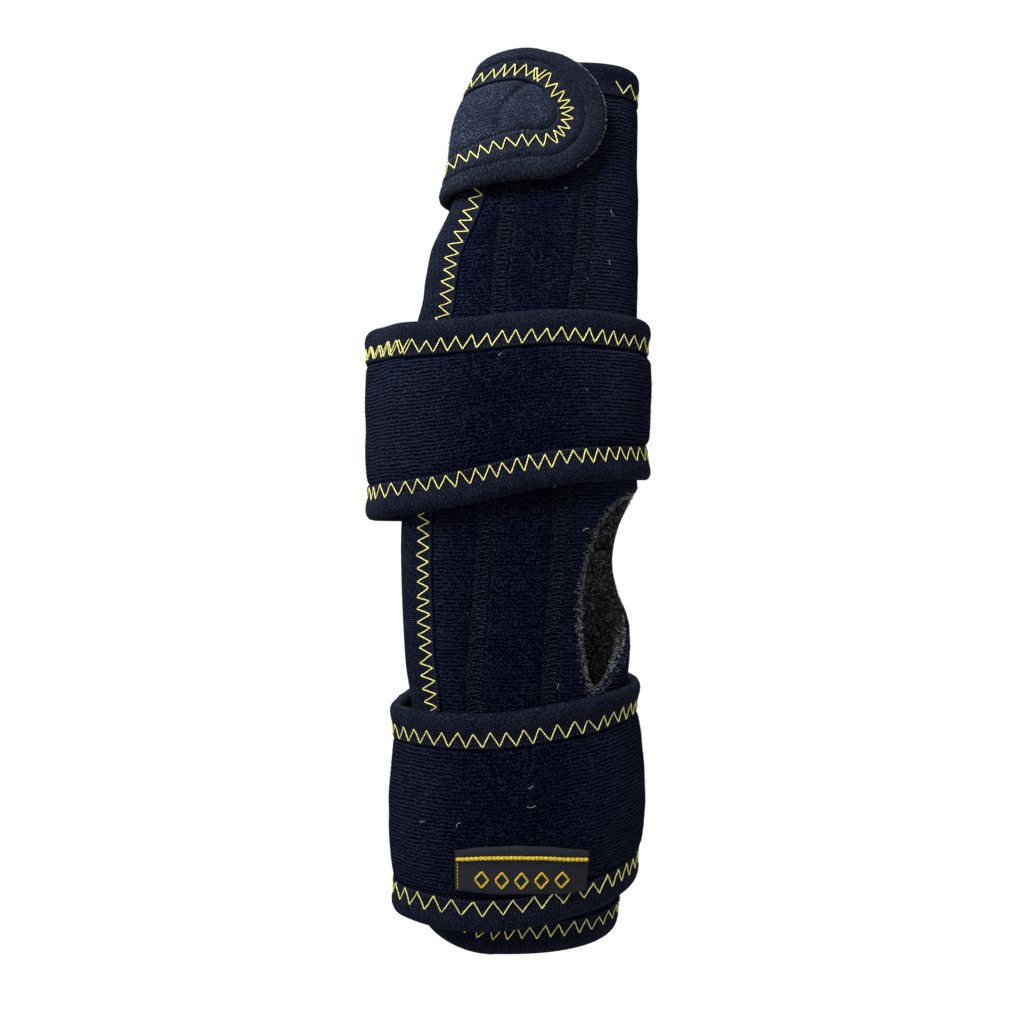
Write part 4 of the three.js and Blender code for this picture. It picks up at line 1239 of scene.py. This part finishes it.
# A strap's three pieces


def side_bulge(strap, amount):
    """Over the thumb side a strap's middle stands up, where it crosses its own start."""

    def relief(x, y):
        turn = strap_turn(strap, x)
        round_side = smooth_step(turn, -0.12, -0.03) * (1 - smooth_step(turn, 0.04, 0.12))
        return amount * round_side * np.clip(1 - (2.4 * y / strap["width"]) ** 2, 0, 1)

    return relief


def build_strap(strap, material, slot, relief, seed, doubled=()):
    """One strap: padded cloth, tape and stitches, which run twice between each doubled pair of turns."""
    name, plush = strap["name"], material == "plush"
    place = strap_place(strap)
    path = strap_path(strap)
    cloth = strap_cloth(strap, path, relief, along_step=0.8 if plush else 1.4)
    dress(cloth, material, slot, name)
    shape = folded_tape(path, STRAP_EDGE_TOP, place, False, seed, strap["extra"], strap["ring"])
    tape = make_piece(name + "_tape", *shape)
    dress(tape, "pale_tape" if plush else "tape", "smooth_tape", name + "_binding")
    add_fuzz(tape, 1500, seed + 3, length=0.5, slot="smooth_tape")
    if plush:
        fold_at, fold_half = spans_of(path)[-1] / 2 + 6, 24

        def at_tip_fold(cloth):
            return (cloth[:, 1] < 0.35) & (np.abs(cloth[:, 0] - fold_at) < fold_half)

        add_fuzz(tape, 220, seed + 4, "lint", 0.4, 0.045, "smooth_tape", at_tip_fold, 0, "_lint")
    stitch = {"width": strap["stitch_width"], "pitch": strap["pitch"], "extra": strap["extra"]}
    parts = [zigzag(path, STRAP_EDGE_TOP, place, seed + 1, **stitch)]
    turns = strap_turn(strap, path[:, 0])
    for low, high in doubled:
        some = path[(turns > low) & (turns < high) & (path[:, 1] > 0)]
        parts.append(zigzag(some, STRAP_EDGE_TOP, place, seed + 2, **stitch, lift=0.12))
    dress(make_piece(name + "_stitches", *join(parts)), "yellow", "smooth_tape")
    return cloth


def turn_pitch(strap, upper, lower, thumb_side, little_side):
    """Stitch length over a strap: the upper and lower row's own in front, shorter towards both sides."""

    def pitch(x, y):
        turn = strap_turn(strap, x)
        front = np.where(y > 0, upper, lower)
        to_thumb = 1 - smooth_step(turn, 0.06, 0.17)
        to_little = smooth_step(turn, 0.33, 0.42)
        return lerp(lerp(front, thumb_side, to_thumb), little_side, to_little)

    return pitch


def finger_extra(x, y):
    """The finger strap's tape is wider round the tip and along the lower edge."""
    tip_x = FINGER_STRAP["tip_x"]
    tip = smooth_step(x, tip_x - 24, tip_x - 8)
    lower = smooth_step(-y, -4, 9) * (1.2 + 4.2 * smooth_step(x, tip_x - 50, tip_x - 24))
    return lerp(0.2 + lower, 4.8, tip)


def finger_pitch(x, y):
    tip_x = FINGER_STRAP["tip_x"]
    in_front = lerp(3.9, 2.5, smooth_step(x, tip_x - 16, tip_x - 4))
    return lerp(in_front, 2.5, smooth_step(strap_turn(FINGER_STRAP, x), 0.33, 0.4))


def finger_relief(x, y):
    """The dent line across the finger strap, where the layer below ends."""
    line = FINGER_STRAP["tip_x"] - 30 + 0.046 * np.maximum(y + 1.1, 0) ** 2
    return -1.15 * bump(x, line, 1.2) + 0.5 * smooth_step(x, line, line + 5)


FINGER_STRAP = strap_frame(FINGER_STRAP)
FINGER_STRAP.update(extra=finger_extra, ring=0.7, stitch_width=3.6, pitch=finger_pitch)
PALM_STRAP = strap_frame(PALM_STRAP)
PALM_STRAP.update(
    extra=lambda x, y: no_extra(x, y) + 0.9,
    ring=0.0,
    stitch_width=4.1,
    pitch=turn_pitch(PALM_STRAP, 4.3, 3.95, 2.9, 3.5),
)
WRIST_STRAP = strap_frame(WRIST_STRAP)
WRIST_STRAP.update(
    extra=lambda x, y: no_extra(x, y) + 0.3,
    ring=0.0,
    stitch_width=4.2,
    pitch=turn_pitch(WRIST_STRAP, 4.5, 5.4, 3.1, 3.4),
)


def build_label(strap):
    """The woven label: a slightly puckered satin strip with a gold stripe and a plain row of lozenges."""
    place = strap_place(strap)
    path = strap_path(strap)
    middle = (strap["start"] - LABEL["turn"]) * strap["girth"]
    level = strap["z"] - strap["width"] / 2 + LABEL["from_edge"]
    near = place(np.array([middle, middle + 1]), np.zeros(2), 4.0)
    width = LABEL["width"] / np.linalg.norm(near[1] - near[0])

    def on_label(across, up, lift):
        """across and up are shares from the label's middle, across counted towards the thumb."""
        x = middle + width * across
        bulge = LABEL["bulge"] * (1 - (2 * across) ** 2) * smooth_step(up, 0, 0.5)
        up_strap = LABEL["height"] * (up + LABEL["tilt"] * across + bulge)
        y = level - strap["z"] - course_at(strap, x, 1) + up_strap
        distance = strap_distance(strap, path, x, y)
        on_tape = distance < TAPE["width"] + 0.8
        tape = tape_top(np.minimum(distance, TAPE["width"]), STRAP_EDGE_TOP) * on_tape
        base = np.maximum(lerp(crowned(distance), STRAP_EDGE_TOP - 1, press_at(distance)), tape) + 0.4
        pucker = 0.15 * np.sin(across * 24) * smooth_step(up, 0.1, 0.5)
        soft = 0.12 * soft_noise(across * 39, up * 12, 7, 51)
        return place(x, y, base + pucker + soft + lift)

    across = np.linspace(-0.5, 0.5, 66)[:, None]
    up = np.linspace(-0.5, 0.5, 22)[None]
    edge = np.minimum(smooth_step(0.5 - np.abs(across), 0, 0.02), smooth_step(0.5 - np.abs(up), 0, 0.06))
    across, up = np.broadcast_arrays(across, up)
    top = on_label(across, up, LABEL["thickness"] * (0.35 + 0.65 * edge))
    flat = np.stack([across * LABEL["width"], up * LABEL["height"], across * 0], axis=2)
    flat = np.concatenate([flat, flat[:, ::-1]], axis=1)
    label = make_piece("label_cloth", *closed_sheet(top, on_label(across, up, 0.0)), flat.reshape(-1, 3))
    dress(label, "label", "woven_label", "woven_label")
    build_label_thread(on_label)


def label_line(on_label, across, up, radius, sides=8):
    height = LABEL["thickness"] + 0.5 * np.min(radius)
    centres = on_label(across, up, height)
    outward = on_label(across, up, height + 1) - centres
    return tube(centres, outward, radius, sides)


def build_label_thread(on_label):
    """A beaded stripe, a thin line beside the end and a row of lozenges."""
    across = np.linspace(-0.485, 0.485, 240)
    beads = STRIPE["radius"] + STRIPE["bead"] * np.abs(np.sin(across * math.pi * STRIPE["beads"]))
    up = np.linspace(-0.42, 0.2, 30)
    uneven = 0.1 + 0.07 * np.sin(np.arange(len(up)) * 1.6)
    parts = [
        label_line(on_label, across, np.full(len(across), STRIPE["up"]), beads),
        label_line(on_label, np.full(len(up), -0.478), up, uneven, 5),
    ]
    turn = np.linspace(0, 2 * math.pi, 26)
    reach = 1 / (np.abs(np.cos(turn)) + np.abs(np.sin(turn)))
    up = LOZENGES["up"] + LOZENGES["height"] * reach * np.sin(turn)
    for middle in np.linspace(-LOZENGES["reach"], LOZENGES["reach"], LOZENGES["count"]):
        across = middle + LOZENGES["half"] * reach * np.cos(turn)
        parts.append(label_line(on_label, across, up, np.full(len(turn), LOZENGES["radius"]), 6))
    dress(make_piece("label_thread", *join(parts)), "gold", "woven_label")


# Small loose fibres of lint on the cloth


def build_lint(pieces):
    parts = []
    at = np.linspace(0, 1, 7)[:, None]
    for seed, (piece, count) in enumerate(pieces):
        places, normals, random = surface_sample(piece, count, 61 + seed)
        for place, normal in zip(places, normals):
            lean = np.cross(normal, random.normal(0, 1, 3))
            lean /= np.linalg.norm(lean)
            side = np.cross(normal, lean)
            length = random.uniform(0.5, 2.6)
            curl = random.uniform(-2.5, 2.5)
            bend = lean * np.sin(curl * at) / curl + side * (1 - np.cos(curl * at)) / curl
            centres = place + length * bend + normal * (0.25 + 0.3 * np.sin(math.pi * at))
            parts.append(tube(centres, np.tile(normal, (len(at), 1)), random.uniform(0.03, 0.055), 4))
    dress(make_piece("lint", *join(parts)), "lint", "knit_cloth")


# Assembly

body, lining = build_wrap()
build_wrap_stitches()
build_seam_stitches()
finger_cloth = build_strap(FINGER_STRAP, "plush", "plush_cloth", finger_relief, 71, [(0.285, 0.31)])
palm_cloth = build_strap(PALM_STRAP, "knit", "knit_cloth", side_bulge(PALM_STRAP, 1.4), 81, [(0.385, 0.5)])
wrist_cloth = build_strap(WRIST_STRAP, "knit", "knit_cloth", side_bulge(WRIST_STRAP, 1.2), 91)
build_label(WRIST_STRAP)
build_hole_fibres(body, lining)
for piece, amount, seed in ((body, 8500, 101), (palm_cloth, 6000, 102), (wrist_cloth, 6000, 103)):
    add_fuzz(piece, amount, seed)
add_fuzz(finger_cloth, 5000, 104, length=0.8, slot="plush_cloth")
build_lint([(body, 14), (palm_cloth, 12), (wrist_cloth, 12), (finger_cloth, 5)])
for tab in ("finger_hook_tab", "palm_hook_tab", "wrist_hook_tab"):
    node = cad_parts[tab]
    node.data.materials.clear()
    node.data.materials.append(MATERIALS["hook"])


# Stage, light and camera

LIT_PLACE = (0, 0, 0.09)


def stage_material():
    shader = Shader("pale_stage")
    source = shader.node("ShaderNodeTexCoord")
    tone = shader.noise(source.outputs["Object"], 0.4, 2.0)
    colour = shader.mix(tone, (0.9, 0.9, 0.9), (0.94, 0.94, 0.94))
    return shader.finish(colour, 0.9, Emission_Color=(1, 1, 1, 1), Emission_Strength=0.12)


def build_stage():
    """A pale floor that curves up behind into a backdrop."""
    floor_z, back_y, bend, half = -0.75, 3.2, 1.2, 6.0
    angles = np.linspace(0, math.pi / 2, 24)
    profile = [(-5.0, floor_z)]
    profile += [(back_y - bend + bend * math.sin(a), floor_z + bend * (1 - math.cos(a))) for a in angles]
    profile += [(back_y, 5.0)]
    points = [(side * half, y, z) for side in (-1, 1) for y, z in profile]
    faces = grid_faces(2, len(profile))
    floor = make_piece("floor", np.array(points) / MM, faces)
    floor.data.materials.append(stage_material())


def area_light(name, place, size, power):
    """A round light turned to the middle of the splint."""
    data = bpy.data.lights.new(name, "AREA")
    data.shape = "DISK"
    data.size = size
    data.energy = power
    light = bpy.data.objects.new(name, data)
    light.visible_camera = False
    light.location = place
    light.rotation_euler = (Vector(LIT_PLACE) - Vector(place)).to_track_quat("-Z", "Y").to_euler()
    bpy.context.scene.collection.objects.link(light)


def build_light():
    world = bpy.data.worlds.new("studio")
    world.use_nodes = True
    background = world.node_tree.nodes["Background"]
    background.inputs["Color"].default_value = (1, 1, 1, 1)
    background.inputs["Strength"].default_value = 1.0
    bpy.context.scene.world = world
    bpy.context.scene.view_settings.view_transform = "Standard"
    area_light("key", place=(-0.17, -0.21, 0.43), size=0.22, power=5.8)
    area_light("back", place=(-0.1, 0.65, 0.55), size=0.4, power=13)


def build_camera():
    """The photograph's view: level, from the palm side, close to the hand."""
    data = bpy.data.cameras.new("camera")
    data.sensor_width = 36
    focal_pixels, image_pixels = 870, 1024
    data.lens = data.sensor_width * focal_pixels / image_pixels
    data.clip_start, data.clip_end = 0.01, 50
    camera = bpy.data.objects.new("camera", data)
    camera.location = (0, -0.28, 0.09)
    camera.rotation_euler = (math.pi / 2, 0, 0)
    bpy.context.scene.collection.objects.link(camera)
    bpy.context.scene.camera = camera


build_stage()
build_light()
build_camera()
